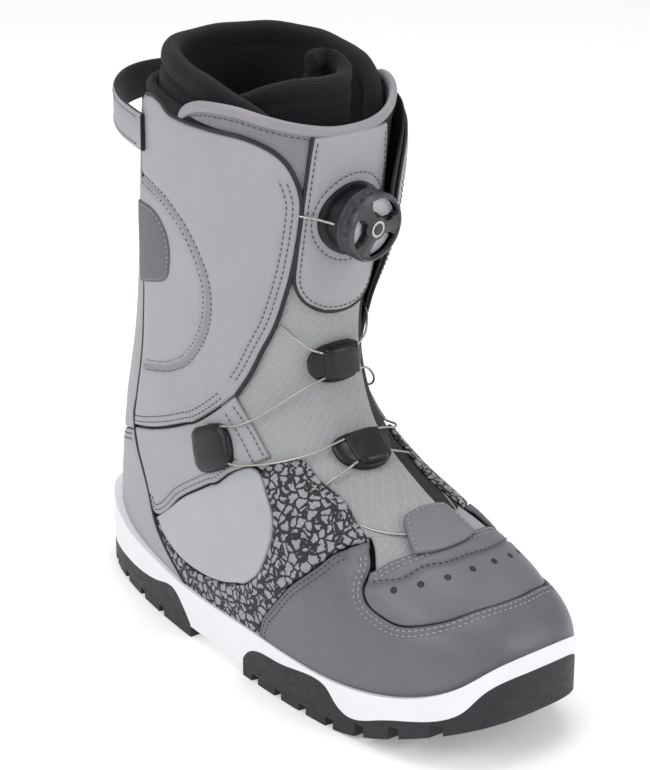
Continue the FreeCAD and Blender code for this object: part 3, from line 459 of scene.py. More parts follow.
class Look:
    """One material's nodes, with short ways to add and join them."""

    def __init__(self, name, color, roughness=0.5, **sockets):
        self.material = bpy.data.materials.new(name)
        self.material.use_nodes = True
        self.tree = self.material.node_tree
        self.shader = self.tree.nodes["Principled BSDF"]
        self.set(self.shader, {"Base Color": color, "Roughness": roughness, **sockets})

    def set(self, node, values):
        for key, value in values.items():
            if isinstance(value, bpy.types.NodeSocket):
                self.tree.links.new(value, node.inputs[key])
            else:
                node.inputs[key].default_value = value

    def add(self, kind, values=(), output=0, **settings):
        node = self.tree.nodes.new("ShaderNode" + kind)
        for key, value in settings.items():
            setattr(node, key, value)
        self.set(node, dict(values))
        return node.outputs[output]

    def place(self, x=1.0, y=1.0, z=1.0):
        spot = self.add("TexCoord", output="Object")
        return self.add("Mapping", {"Vector": spot, "Scale": (x, y, z)})

    def chart(self, x=1.0, y=1.0):
        spot = self.add("Attribute", output="Vector", attribute_name="chart")
        return self.add("Mapping", {"Vector": spot, "Scale": (x, y, 1.0)})

    def point(self, name):
        return self.add("Attribute", output="Fac", attribute_name=name)

    def noise(self, scale, vector=None, detail=3.0, distortion=0.0):
        vector = vector or self.place()
        return self.add("TexNoise", {"Vector": vector, "Scale": scale, "Detail": detail,
                                     "Distortion": distortion})

    def cells(self, scale, vector=None, feature="F1", output="Distance"):
        vector = vector or self.place()
        return self.add("TexVoronoi", {"Vector": vector, "Scale": scale}, output=output, feature=feature)

    def math(self, operation, a, b=0.0, c=0.0):
        node = self.tree.nodes.new("ShaderNodeMath")
        node.operation = operation
        self.set(node, {0: a, 1: b, 2: c})
        return node.outputs[0]

    def ramp(self, factor, *stops):
        node = self.tree.nodes.new("ShaderNodeValToRGB")
        self.set(node, {"Fac": factor})
        while len(node.color_ramp.elements) < len(stops):
            node.color_ramp.elements.new(1.0)
        for element, (spot, color) in zip(node.color_ramp.elements, stops):
            element.position = spot
            element.color = color if hasattr(color, "__len__") else (color, color, color, 1.0)
        return node.outputs[0]

    def mix(self, factor, a, b, blend="MIX"):
        node = self.tree.nodes.new("ShaderNodeMix")
        node.data_type, node.blend_type = "RGBA", blend
        self.set(node, {0: factor, 6: a, 7: b})
        return node.outputs[2]

    def color(self, value):
        self.set(self.shader, {"Base Color": value})

    def roughness(self, value):
        self.set(self.shader, {"Roughness": value})

    def bump(self, *layers):
        """Each layer is (height, strength, distance in metres)."""
        normal = None
        for height, strength, distance in layers:
            values = {"Height": height, "Strength": strength, "Distance": distance}
            if normal is not None:
                values["Normal"] = normal
            normal = self.add("Bump", values)
        self.set(self.shader, {"Normal": normal})


def leather(name, color, dark, roughness=0.5, grain=1.0):
    """Coated leather: fine pebble grain, soft mottling, darker along the panel edges and painted shade in the
    pressed grooves.
    """
    look = Look(name, color, roughness)
    cloud = look.noise(38.0, detail=4.0)
    fine = look.noise(420.0, detail=5.0)
    tone = look.ramp(look.math("ADD", look.math("MULTIPLY", cloud, 0.7), look.math("MULTIPLY", fine, 0.3)),
                     (0.32, dark), (0.62, color))
    # painted shade: the colour darkens in the pressed stitch grooves, more where a groove is deeper
    groove_shade = look.math("MULTIPLY", look.point("press"), 0.9)
    tone = look.mix(look.math("MINIMUM", groove_shade, 0.5), tone, tuple(v * 0.42 for v in color[:3]) + (1.0,))
    # darker along the panel edges
    rim = look.ramp(look.math("DIVIDE", look.point("edge"), 2.0), (0.0, 0.45), (0.35, 0.0))
    look.color(look.mix(rim, tone, tuple(v * 0.62 for v in color[:3]) + (1.0,)))
    pebble = look.cells(900.0, feature="SMOOTH_F1")
    look.bump((look.noise(60.0, detail=2.0), 0.25, 0.0006 * grain), (pebble, 0.28 * grain, 0.00022),
              (fine, 0.2 * grain, 0.00015))
    look.roughness(look.ramp(cloud, (0.3, roughness - 0.05), (0.7, roughness + 0.07)))
    return look.material


def grid_lines(look, vector, pitch, width, angles):
    """Ridges of the given width, pitch apart, along each angle of the chart."""
    best = None
    for angle in angles:
        turned = look.add("Mapping", {"Vector": vector, "Rotation": (0, 0, math.radians(angle))})
        x = look.add("SeparateXYZ", {"Vector": turned}, output=0)
        wave = look.math("PINGPONG", x, pitch / 2)
        line = look.math("SUBTRACT", 1.0, look.math("MINIMUM", look.math("DIVIDE", wave, width), 1.0))
        best = line if best is None else look.math("MAXIMUM", best, line)
    return best


def ripstop():
    look = Look("ripstop_grey", rgb(163, 164, 167), 0.55, **{"Sheen Weight": 0.15})
    chart = look.chart()
    wobble = look.add("VectorMath", {0: chart, 1: look.add("VectorMath", {
        0: look.add("TexNoise", {"Vector": chart, "Scale": 0.08}, output=1), "Scale": 0.8}, operation="SCALE")},
        operation="ADD")
    ridge = grid_lines(look, wobble, 3.3, 0.5, (52, -52))
    fine = grid_lines(look, chart, 0.62, 0.3, (52, -52))
    cloud = look.noise(30.0, detail=3.0)
    tone = look.ramp(cloud, (0.3, rgb(152, 153, 155)), (0.7, rgb(164, 165, 167)))
    tone = look.mix(look.math("MULTIPLY", ridge, 0.45), tone, rgb(184, 185, 187))
    look.color(look.mix(look.math("MULTIPLY", fine, 0.14), tone, rgb(112, 112, 116)))
    look.bump((ridge, 0.5, 0.0005), (fine, 0.3, 0.00018), (look.noise(90.0, detail=2.0), 0.35, 0.0009))
    return look.material


def textile(name, color, thread_color, pitch=0.9):
    """A woven or mesh cloth with a diagonal hatch."""
    look = Look(name, color, 0.8, **{"Sheen Weight": 0.1, "Specular IOR Level": 0.25})
    hatch = grid_lines(look, look.chart(), pitch, 0.3, (58, -40))
    cloud = look.noise(50.0)
    tone = look.mix(look.math("MULTIPLY", hatch, 0.55), color, thread_color)
    look.color(look.mix(look.math("MULTIPLY", cloud, 0.25), tone, tuple(v * 0.6 for v in color[:3]) + (1.0,)))
    look.bump((hatch, 0.6, 0.0004), (look.noise(700.0), 0.3, 0.0002))
    return look.material


def cracked_print():
    """Grey rounded blots on black, like cracked hide."""
    look = Look("cracked_print", rgb(140, 142, 147), 0.5)
    spot = look.place()
    drift = look.add("TexNoise", {"Vector": spot, "Scale": 260.0, "Detail": 2.0}, output=1)
    moved = look.add("VectorMath", {0: spot, 1: look.add("VectorMath", {0: drift, "Scale": 0.0042},
                                                         operation="SCALE")}, operation="ADD")
    crack = look.cells(225.0, moved, feature="DISTANCE_TO_EDGE")
    ragged = look.noise(620.0, spot, detail=3.0)
    level = look.math("ADD", crack, look.math("MULTIPLY", look.math("SUBTRACT", ragged, 0.5), 0.2))
    blot = look.ramp(level, (0.115, 0.0), (0.155, 1.0))
    shade = look.ramp(look.noise(900.0, spot), (0.3, rgb(128, 130, 135)), (0.7, rgb(156, 158, 163)))
    look.color(look.mix(blot, rgb(26, 26, 30), shade))
    look.roughness(look.ramp(blot, (0.0, 0.62), (1.0, 0.46)))
    look.bump((blot, 0.35, 0.0002), (look.cells(900.0, feature="SMOOTH_F1"), 0.3, 0.0002))
    return look.material


def knit(name, color, rib=1.5, strength=0.7, ribs=True):
    """Ribbed knit: rows along the edge, crossed by small loops."""
    look = Look(name, color, 0.9, **{"Sheen Weight": 0.08, "Sheen Roughness": 0.5,
                                     "Specular IOR Level": 0.15})
    chart = look.chart()
    loops = grid_lines(look, chart, 0.7, 0.35, (0,))
    row = grid_lines(look, chart, rib, rib * 0.45, (90,)) if ribs else grid_lines(look, chart, 0.8, 0.4, (90,))
    fuzz = look.noise(900.0, detail=4.0)
    light = tuple(min(1.0, v * 2.3) for v in color[:3]) + (1.0,)
    tone = look.mix(look.math("MULTIPLY", row, 0.5), color, light)
    look.color(look.mix(look.math("MULTIPLY", look.math("MULTIPLY", loops, fuzz), 0.5), tone,
                        tuple(v * 0.4 for v in color[:3]) + (1.0,)))
    look.bump((row, strength, 0.0007), (loops, 0.4, 0.0003), (fuzz, 0.3, 0.0003))
    return look.material


def plain(name, color, roughness, grain=500.0, bump=0.15, mottle=0.85, **sockets):
    """Moulded or painted matter: fine texture, slight mottling and scuffs."""
    look = Look(name, color, roughness, **sockets)
    cloud = look.noise(45.0, detail=5.0)
    look.color(look.ramp(cloud, (0.3, tuple(v * mottle for v in color[:3]) + (1.0,)), (0.65, color)))
    look.bump((look.noise(grain, detail=4.0), bump, 0.0002))
    scuff = look.noise(160.0, look.place(1.0, 1.0, 3.0), detail=6.0)
    look.roughness(look.ramp(scuff, (0.35, max(0.05, roughness - 0.06)), (0.7, min(1.0, roughness + 0.12))))
    return look.material


GREY = leather("grey_leather", rgb(158, 160, 163), rgb(151, 153, 157))
LIGHT = leather("light_leather", rgb(171, 173, 177), rgb(164, 166, 171))
DARK = leather("dark_leather", rgb(103, 102, 109), rgb(94, 93, 100), 0.42, 1.2)
VAMP = leather("vamp_leather", rgb(109, 108, 115), rgb(102, 101, 108), 0.45, 1.2)
TAB = leather("tab_leather", rgb(120, 118, 125), rgb(113, 111, 118), 0.55)
BINDING = leather("binding_leather", rgb(147, 144, 150), rgb(140, 137, 143), 0.45, 0.6)
PATCH = leather("patch_leather", rgb(98, 96, 102), rgb(88, 86, 92), 0.55)
RIPSTOP = ripstop()
MESH = textile("wing_textile", rgb(128, 129, 133), rgb(166, 167, 170))
LINING = textile("black_lining", rgb(26, 26, 29), rgb(44, 44, 48), 0.8)
PRINT = cracked_print()
KNIT = knit("black_knit", rgb(28, 28, 31), 1.25, 0.5)
JERSEY = knit("black_jersey", rgb(30, 31, 37), ribs=False, strength=0.3)
RUBBER = plain("black_rubber", rgb(42, 42, 47), 0.55, 700.0, 0.25, **{"Specular IOR Level": 0.35})
FOAM = plain("white_foam", rgb(236, 235, 239), 0.5, 900.0, 0.12, 0.965)
NYLON = plain("black_nylon", rgb(24, 25, 29), 0.36, 300.0, 0.08, **{"Specular IOR Level": 0.4})
GLOSS = plain("dial_gloss", rgb(20, 20, 24), 0.2, 300.0, 0.03, **{"Coat Weight": 0.2, "Coat Roughness": 0.1})
GRIP = plain("grip_rubber", rgb(44, 46, 54), 0.4, 600.0, 0.15)
RIMMED = plain("dial_rim", rgb(66, 68, 76), 0.25, 300.0, 0.03)
STEEL = plain("lace_steel", rgb(196, 193, 186), 0.35, 800.0, 0.1, Metallic=0.85)
THREAD_DARK = plain("thread_dark", rgb(58, 58, 64), 0.7, 1500.0, 0.3)
THREAD_LIGHT = plain("thread_light", rgb(176, 175, 180), 0.65, 1500.0, 0.3)
PIPING = plain("piping_black", rgb(24, 24, 28), 0.5, 900.0, 0.2)
BOARD = plain("board", rgb(120, 100, 76), 0.8)
SPOOL = plain("spool_plastic", rgb(196, 198, 204), 0.4)


def paint(node, material):
    """A CAD node keeps its shape and gets a new finish."""
    data = frame["nodes"][node].data
    if data.materials:
        for i in range(len(data.materials)):
            data.materials[i] = material
    else:
        data.materials.append(material)


def ready(piece, body, nodes=()):
    """A finished piece: the body it rides on and the CAD nodes it stands for."""
    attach(piece, body)
    if nodes:
        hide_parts(*nodes)
    return piece


# ---------------------------------------------------------------- outlines, as (x, z) in the side view

QUARTER_TOP = [(-74, 265), (-66, 268.5), (-56, 270.5), (-48, 269.5), (-41, 266), (-30, 264.7)]
QUARTER_FRONT = [(-30, 264.7), (-14, 264), (2, 262.8), (11, 259.5), (16.3, 254.5), (19, 248), (20.3, 239),
                 (20, 229), (16, 206), (10, 186), (5, 172), (-1, 159), (-7, 146), (-14, 134)]
CUFF_SEAM = [(-42, 112), (-75, 98), (-105, 87)]
BACK_SEAM = [(-105.5, 88), (-98, 108), (-91, 133), (-84, 175), (-79, 214), (-75, 256), (-73.5, 265)]
SIDE_PANEL = [(-75, 50), (-52, 68), (-31, 82), (-12, 95), (0, 103), (9, 102), (19, 92), (25, 80), (22, 66),
              (15, 54), (2, 46), (-12, 41), (-30, 38), (-50, 38), (-67, 43)]
THROAT = [(13, 109), (25, 112), (36, 106), (51, 100), (64, 93), (73, 89)]
TOE_CAP_BACK = [(19, 22), (22, 34), (29, 44), (40, 58), (50, 68), (61, 80), (68, 86)]
COUNTER_FRONT = [(-105.5, 84), (-93, 70), (-78, 48), (-67, 38), (-53.5, 30), (-42, 24)]
FEATHER = np.array([(-160, 34), (-113, 31), (-79, 28), (-49, 25.5), (18, 26), (79, 24), (102, 27), (125, 34),
                    (138, 42), (147, 53), (160, 55)], float)
PAD_FRONT = [(-78, 226), (-62, 226), (-47, 222), (-34, 211), (-27, 197), (-26, 182), (-30, 166), (-40, 150),
             (-58, 137), (-86, 128)]

stitches = {(body, kind): [] for body in ("shell", "tongue") for kind in ("dark", "light")}


def sew(piece, row, kind="dark", body="shell", extra=0.12, **shape):
    stitches[(body, kind)] += thread(row, height_on(piece, row, extra), **shape)


def inset(line, distance, hand):
    """A side's line moved over the skin: to the right of its run on the lateral side, mirrored on the other."""
    return shift(line, hand * distance)


def low_edge(first, last, drop=1.5):
    """The upper's lower edge between two angles, tucked behind the lip of the midsole."""
    angles = np.linspace(first, last, max(3, int(abs(last - first) / 6)))
    heights = np.full(len(angles), 30.0)
    for _ in range(6):
        x = skin(np.stack([angles, heights], 1))[:, 0]
        heights = np.interp(x, *FEATHER.T) - drop
    return np.stack([np.asarray(angles), np.maximum(heights, 20.5)], 1)


def part_of(line, low, high):
    """The stretch of a curve between two heights."""
    return line[(line[:, 1] > low) & (line[:, 1] < high)]


# ---------------------------------------------------------------- upper

def flare(chart, spots):
    """The inner side's cuff stands open: its front edge is pulled away from the shaft."""
    near = np.clip((spots[:, 0] + 25) / 48, 0, 1)
    high = np.clip((spots[:, 2] - 140) / 70, 0, 1)
    return 7.5 * near**1.6 * high * (3 - 2 * high) * high


for side_name, hand in SIDES:
    def here(points, hand=hand):
        return side(points, hand)

    front_edge, cuff_seam, back_seam = here(QUARTER_FRONT), here(CUFF_SEAM), here(BACK_SEAM)
    front_line, seam_line = curve(front_edge), curve(cuff_seam)
    rows_front = [part_of(inset(front_line, d, hand), 140, 244) for d in (3.4, 6.2)]
    rows_seam = [inset(curve(here([(-14, 134), (-42, 112), (-75, 98), (-105, 87)])), d, hand)[8:-4]
                 for d in (2.6, 5.4)]
    pad_line = curve(here(PAD_FRONT))
    quarter = panel(f"quarter_{side_name}",
                    [here(QUARTER_TOP), front_edge, cuff_seam, back_seam], GREY,
                    crown=(1.2, 9), rounding=1.3, lift=flare if hand == MEDIAL else None,
                    grooves=[(r, 0.32, 0.7) for r in rows_front + rows_seam]
                    + [(inset(pad_line, 1.4, -hand), 1.1, 1.5)])
    ready(quarter, "shell", [f"quarter_{side_name}"])
    for row in rows_front + rows_seam:
        sew(quarter, row)
    sew(quarter, inset(pad_line, 3.2, -hand)[6:])

    # the padded arc behind the ankle, in a deep seam
    pad_rows = [inset(pad_line, d, hand) for d in (1.6,)]
    rear_pad = panel(f"rear_pad_{side_name}", [here(PAD_FRONT), here([(-86, 128), (-82, 172), (-77, 222)])],
                     GREY, top=0.9, bottom=-0.5, rounding=1.2, crown=(1.3, 11),
                     grooves=[(r, 0.35, 0.8) for r in pad_rows])
    ready(rear_pad, "shell", [f"rear_pad_{side_name}"])
    for row in pad_rows:
        sew(rear_pad, row[4:-3])

    patch_edge = here([(-77, 215), (-62, 217), (-52, 214), (-46.5, 205), (-48, 192), (-56, 181), (-82, 172)])
    patch_row = inset(curve(patch_edge), 1.6, hand)
    patch = panel(f"rear_patch_{side_name}", [patch_edge], PATCH, top=3.0, bottom=1.6, rounding=0.8,
                  grooves=[(patch_row, 0.3, 0.6)])
    ready(patch, "shell", [f"rear_patch_{side_name}"])
    sew(patch, patch_row[3:-3], "light")

    # lining that shows as a black edge in front of the quarter, wider on the medial side
    reach = 1.3 if hand == LATERAL else 6.0
    lining_edge = inset(curve(here(QUARTER_TOP[2:] + QUARTER_FRONT[1:])), -reach, hand)
    lining = panel(f"quarter_lining_{side_name}",
                   [lining_edge[::10], here([(-30, 122), (-50, 130), (-60, 200), (-60, 262)])], LINING,
                   top=-1.75, bottom=-2.7, rounding=0.4, grid=3.0, lift=flare if hand == MEDIAL else None)
    ready(lining, "shell")
    bead_line = curve(here(QUARTER_TOP[1:] + QUARTER_FRONT[1:]))
    lift = -0.75 + (flare(bead_line, skin(bead_line)) if hand == MEDIAL else 0.0)
    bead = sweep(at(inset(bead_line, -0.75, hand), lift), ring_profile(0.95, 10), ups=normals(bead_line))
    ready(mesh_object(f"quarter_bead_{side_name}", *bead, PIPING), "shell")

    ankle_top = here([(-104.5, 86.0), (-75, 96.9), (-42, 111.2), (-14, 133.0)])
    ankle_low = here([(0, 104), (-12, 96.1), (-31, 83.1), (-52, 69.1), (-77, 50.8), (-92, 70)])
    ankle_row = [inset(curve(ankle_low), d, hand)[5:-14] for d in (2.2, 4.8)]
    facing = here([(-14, 133.0), (-1, 120.5), (10.5, 110.5)])
    facing_edge = curve(here([(-14, 131.5), (-1, 120.5), (10.5, 110.5)]))
    facing_rows = [inset(facing_edge, d, hand)[2:-2] for d in (2.2, 8.5)]
    ankle = panel(f"ankle_panel_{side_name}",
                  [ankle_top, facing, here([(10.5, 110.5), (0, 104)]), ankle_low], GREY, crown=(0.6, 8),
                  grooves=[(r, 0.32, 0.7) for r in ankle_row + facing_rows])
    ready(ankle, "shell", [f"ankle_panel_{side_name}"])
    for row in ankle_row + facing_rows:
        sew(ankle, row)

    panel_loop = here(SIDE_PANEL + SIDE_PANEL[:1])
    side_piece = panel(f"side_panel_{side_name}", [panel_loop], LIGHT, top=-0.25, crown=(1.3, 13),
                       rounding=1.0)
    ready(side_piece, "shell", [f"side_panel_{side_name}"])

    throat = here(THROAT)
    side_hole = shift(outline([panel_loop]), -0.45, closed=True)
    throat_rows = [inset(curve(throat[::-1]), d, -hand)[1:-1] for d in (1.8, 4.2)]
    foot = low_edge(here([(-42, 24)])[0, 0], here([(19, 24)])[0, 0])
    print_piece = panel(f"print_panel_{side_name}",
                        [here([(-77, 49), (-66, 38), (-53, 30), (-42, 24)]), foot,
                         here([(18.5, 22), (21.5, 34), (28.5, 44), (39.5, 58.5), (49.5, 68.5), (60.5, 80.5),
                               (67.5, 86.5), (73, 89)]), throat[::-1], here([(13, 109), (9.5, 105)])],
                        PRINT, top=-0.1, crown=(0.3, 5), holes=[side_hole],
                        grooves=[(r, 0.3, 0.6) for r in throat_rows])
    ready(print_piece, "shell", [f"print_panel_{side_name}"])
    for row in throat_rows:
        sew(print_piece, row, "light")

    # piping along the back seam and the front of the heel counter
    pipe_line = curve(here(BACK_SEAM[::-1] + COUNTER_FRONT[1:]), 1.6)
    pipe = sweep(at(pipe_line, -0.35), ring_profile(1.0, 10), ups=normals(pipe_line))
    ready(mesh_object(f"piping_{side_name}", *pipe, PIPING), "shell")

    base_front = here([(-20, 263), (-12, 229), (-8, 206), (-12, 186), (-16, 172), (-20, 159), (-22, 146),
                       (-24, 136)])
    base_throat = here([(-14, 118), (0, 106), (14, 104), (32, 100), (48, 93), (58, 88), (69, 84)])
    base = panel(f"upper_base_{side_name}",
                 [here([(-98, 263), (-60, 269)]), base_front, base_throat,
                  here([(69, 84)]), low_edge(here([(69, 24)])[0, 0], hand * 179, 3.0),
                  np.array([(hand * 179, 60.0), (hand * 179, 262.0)])],
                 LINING, top=-1.9, bottom=-4.6, rounding=0.5, grid=3.4, step=2.0)
    ready(base, "shell", [f"upper_base_{side_name}"])

# the padded black edge of the cuff's lining, inside the quarters
roll_line = curve(np.array([(50, 259), (62, 262), (80, 265), (100, 269), (120, 271), (150, 270), (180, 268.5),
                            (210, 270), (240, 271), (260, 269), (280, 265), (298, 262), (310, 259)]), 1.5)
ROLL_SIDES = 14
roll_ups = np.tile([0, 0, 1.0], (len(roll_line), 1))
cuff_roll = sweep(at(roll_line, -3.6), ring_profile(2.7, ROLL_SIDES, 1.25), ups=roll_ups)
roll_chart = np.stack([np.repeat(np.arange(len(roll_line)) * 1.5, ROLL_SIDES),
                       np.tile(np.arange(ROLL_SIDES) * 1.2, len(roll_line)),
                       np.zeros(len(roll_line) * ROLL_SIDES)], 1)
ready(mesh_object("cuff_roll", *cuff_roll, KNIT, {"chart": roll_chart}), "shell")

# heel counter and back stay cross the middle of the heel
counter_left, counter_right = side(COUNTER_FRONT, LATERAL), side(COUNTER_FRONT, MEDIAL)
counter_left[:, 0] += 360
top_back = [(180 + d, z) for d, z in ((-30, 76), (-15, 70), (0, 68), (15, 70), (30, 76))]
heel_low = low_edge(counter_right[-1, 0], counter_left[-1, 0])
counter_line = curve(np.array([counter_right[0]] + top_back + [counter_left[0]]))
counter_rows = [shift(counter_line, -d)[3:-3] for d in (2.2, 4.8)]
counter = panel("heel_counter", [counter_line[::6], counter_left, heel_low[::-1], counter_right[::-1]], GREY,
                crown=(0.5, 8), grooves=[(r, 0.3, 0.7) for r in counter_rows])
ready(counter, "shell", ["heel_counter"])
for row in counter_rows:
    sew(counter, row)
stay_left, stay_right = side(BACK_SEAM, LATERAL), side(BACK_SEAM, MEDIAL)
stay_left[:, 0] += 360
stay_top = np.array([stay_right[-1], (150, 263.5), (180, 262.5), (210, 263.5), stay_left[-1]])
stay_row = shift(curve(stay_top), -3.0)[2:-2]
stay = panel("back_stay", [counter_line[::6] + (0, 0.5), stay_left, stay_top[::-1], stay_right[::-1]], GREY,
             crown=(1.0, 10), rounding=1.2, grooves=[(stay_row, 0.35, 0.8)])
ready(stay, "shell", ["back_stay"])
sew(stay, stay_row)

# ---------------------------------------------------------------- toe

SEAM = place([(76, -31, 87), (81, -35, 82), (82, -40, 74), (86, -41.5, 67.5), (95, -40, 63.5), (106, -37, 62),
              (119, -28, 66), (126, -12, 69), (129, 7, 70), (126, 26, 68.5), (119, 40, 65), (106, 47.5, 62),
              (95, 49.5, 63.5), (86, 49, 67.5), (82, 46, 74), (81, 41, 82), (76, 37, 87)])
VAMP_TOP = place([(82, -35.5, 79.5), (87, -26, 84.5), (91, -12, 87), (92, 3, 88), (91, 18, 87.5), (87, 32, 85),
                  (82, 41, 80)])
cap_left, cap_right = side(TOE_CAP_BACK, LATERAL), side(TOE_CAP_BACK, MEDIAL)
throat_left = curve(np.array([cap_left[-1], side([(73, 88.6)], LATERAL)[0], SEAM[0]]))
throat_right = curve(np.array([SEAM[-1], side([(73, 88.6)], MEDIAL)[0], cap_right[-1]]))
seam_line = curve(SEAM)
cap_rows = [shift(seam_line, -d)[3:-3] for d in (1.7, 4.0)]
back_rows = [inset(curve(side(TOE_CAP_BACK, h)), d, h)[2:-3] for h in (LATERAL, MEDIAL) for d in (2.0, 4.4)]
toe_low = low_edge(cap_left[0, 0], cap_right[0, 0])
cap = panel("toe_cap", [cap_left, throat_left[::3], SEAM, throat_right[::3], cap_right[::-1], toe_low[::-1]],
            DARK, top=0.35, crown=(0.7, 12), rounding=0.9,
            grooves=[(r, 0.35, 0.7) for r in cap_rows + back_rows])
ready(cap, "shell", ["toe_cap"])
for row in cap_rows:
    sew(cap, row, "light")
for row in back_rows:
    sew(cap, row)

scallop = curve(place([(84, -37, 74), (89, -34, 76), (96, -28, 78), (99, -18, 82), (103, -8, 82.5),
                       (104, 4, 83), (104, 16, 82.5), (101, 27, 81), (96, 36, 78), (88, 44, 74)]))
vamp_rows = [shift(curve(VAMP_TOP), -d)[1:-1] for d in (1.8, 4.2)]
vamp = panel("vamp_top", [VAMP_TOP, shift(seam_line, 0.4)[12:-12:8][::-1]], VAMP, top=-0.6, crown=(1.1, 12),
             rounding=0.9, grooves=[(scallop, 0.8, 1.1)] + [(r, 0.35, 0.7) for r in vamp_rows])
ready(vamp, "shell", ["vamp_top"])
for row in vamp_rows:
    sew(vamp, row, "light")
sew(vamp, shift(scallop, 1.0)[2:-2])

holes = []
for spot in place([(95, -31, 73), (103, -23, 76.5), (108, -12, 78), (110, 1, 79), (110, 14, 79), (108, 26, 77.5),
                   (103, 36, 74.5)]):
    turn = np.linspace(0, 2 * np.pi, 15)[:-1]
    n = normals(spot)[0]
    u = unit(np.cross(n, [0, 0, 1.0]))
    v = np.cross(n, u)
    centre = skin(spot)[0] + n * height_on(vamp, np.array([spot]))[0]
    rings = [centre + n * lift + (np.cos(turn)[:, None] * u + np.sin(turn)[:, None] * v) * radius
             for radius, lift in ((1.75, -0.15), (1.55, 0.1), (1.2, 0.12), (0.9, 0.04), (0.2, 0.02))]
    count = len(turn)
    faces = ring_faces(len(rings), count)
    holes.append((np.vstack(rings), faces))
ready(mesh_object("vamp_eyelets", *joined(holes), PIPING), "shell")

tab_edge = place([(92, -18, 86.5), (84, -14.5, 90), (76, -10, 94), (73.5, -7, 95), (72.5, 3, 95.5),
                  (73, 13, 95), (75, 16.5, 94), (84, 17.5, 90), (93, 18, 86.5)])
tab_row = shift(curve(tab_edge), -1.7)
tab = panel("toe_tab", [tab_edge[:4], tab_edge[3:6], tab_edge[5:]], TAB, top=2.0, bottom=0.2, rounding=0.9,
            crown=(0.4, 6), grooves=[(tab_row[1:-1], 0.3, 0.6)], grid=1.6)
ready(tab, "shell", ["toe_tab"])
sew(tab, tab_row[1:-1], "light")

# the closed foot of the tongue, ahead of its hinge
foot_panel = panel("tongue_foot", [place([(64, -24, 96), (74, -27, 90), (84, -34, 80), (94, -38, 74)]),
                                   place([(98, -20, 83), (98, 0, 84), (98, 22, 83)]),
                                   place([(94, 46, 74), (84, 41, 80), (74, 33, 90), (64, 29, 96)])],
                   RIPSTOP, top=-2.3, bottom=-4.2, rounding=0.3)
ready(foot_panel, "shell")


# ---------------------------------------------------------------- tongue

STRIP = 19.0
strip_left = front([(-15, 92), (-15, 98), (-17, 120), (-STRIP, 140), (-STRIP, 200), (-STRIP, 262)])
strip_right = front([(16, 92), (16, 98), (17, 120), (STRIP, 140), (STRIP, 200), (STRIP, 262)])


def tongue_swell(chart, spots):
    """Soft waves across the padded tongue."""
    x, y, z = spots.T
    return 0.35 * np.sin(z / 7.5 + y / 18) * np.clip((200 - z) / 60, 0, 1) * np.clip((z - 95) / 20, 0, 1)


core = panel("tongue_core", [strip_left[::-1], np.array([strip_left[0], strip_right[0]]), strip_right,
                             np.array([strip_right[-1], strip_left[-1]])], RIPSTOP, top=-2.1, bottom=-4.9,
             rounding=0.05, swell=tongue_swell)
ready(core, "tongue", ["tongue_core"])

WING_TOP = ((90, 266), (84, 270.5), (76, 273), (60, 273), (44, 269.8), (26, 265.8))
for side_name, hand in SIDES:
    strip = strip_left if hand == LATERAL else strip_right
    outer = side([(44, 88), (30, 97), (10, 103), (-8, 112), (-26, 130), (-32, 146), (-30, 165), (-25, 190),
                  (-22, 225), (-30, 250), (-44, 262)], hand)
    top_edge = np.array([(hand * a, z) for a, z in WING_TOP])
    wing = panel(f"tongue_wing_{side_name}", [strip, top_edge[::-1], outer[::-1]],
                 RIPSTOP if hand == LATERAL else LINING, top=-2.1, bottom=-4.9, rounding=0.05,
                 swell=tongue_swell)
    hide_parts(f"gusset_{side_name}")
    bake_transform(wing)
    if hand == LATERAL:
        sleeve = panel("tongue_wing_textile", [top_edge[::-1], side([(-30, 250), (-8, 228), (0, 200)], hand),
                                               front([(-24, 190), (-24.5, 215), (-23, 245), (-22, 262)])],
                       MESH, top=-1.6, bottom=-2.4, rounding=0.3)
        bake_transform(sleeve)

shield_left = front([(-20.5, 263.5), (-22, 250), (-23.5, 225), (-24, 205), (-23, 193), (-18, 184), (-9, 178.5)])
shield_low = front([(-9, 178.5), (3, 177), (14, 179)])
shield_right = front([(14, 179), (21, 185), (24, 195), (25, 215), (24, 240), (23, 263)])
shield_line = curve(np.vstack([shield_left, shield_low[1:], shield_right[1:]]))
shield_row = shift(shield_line, 2.0)[2:-2]
turn = np.linspace(0, 2 * np.pi, 41)
dial_ring = front(np.stack([20.8 * np.cos(turn) + 1, 223.7 + 20.8 * np.sin(turn)], 1))
shield_top = front([(23, 263), (0, 264), (-20.5, 263.5)])
shield = panel("tongue_shield", [shield_left, shield_low, shield_right, shield_top], GREY, top=-0.2,
               bottom=-1.9, rounding=0.8, crown=(0.3, 6),
               grooves=[(shield_row, 0.35, 0.7), (dial_ring, 0.3, 0.7)])
ready(shield, "tongue", ["tongue_shield"])
sew(shield, shield_row, body="tongue")
sew(shield, dial_ring, body="tongue")
pipe_line = shift(shield_line, -0.5)[:-4]
pipe = sweep(at(pipe_line, -0.9), ring_profile(0.85, 10), ups=normals(pipe_line))
ready(mesh_object("shield_piping", *pipe, PIPING), "tongue")

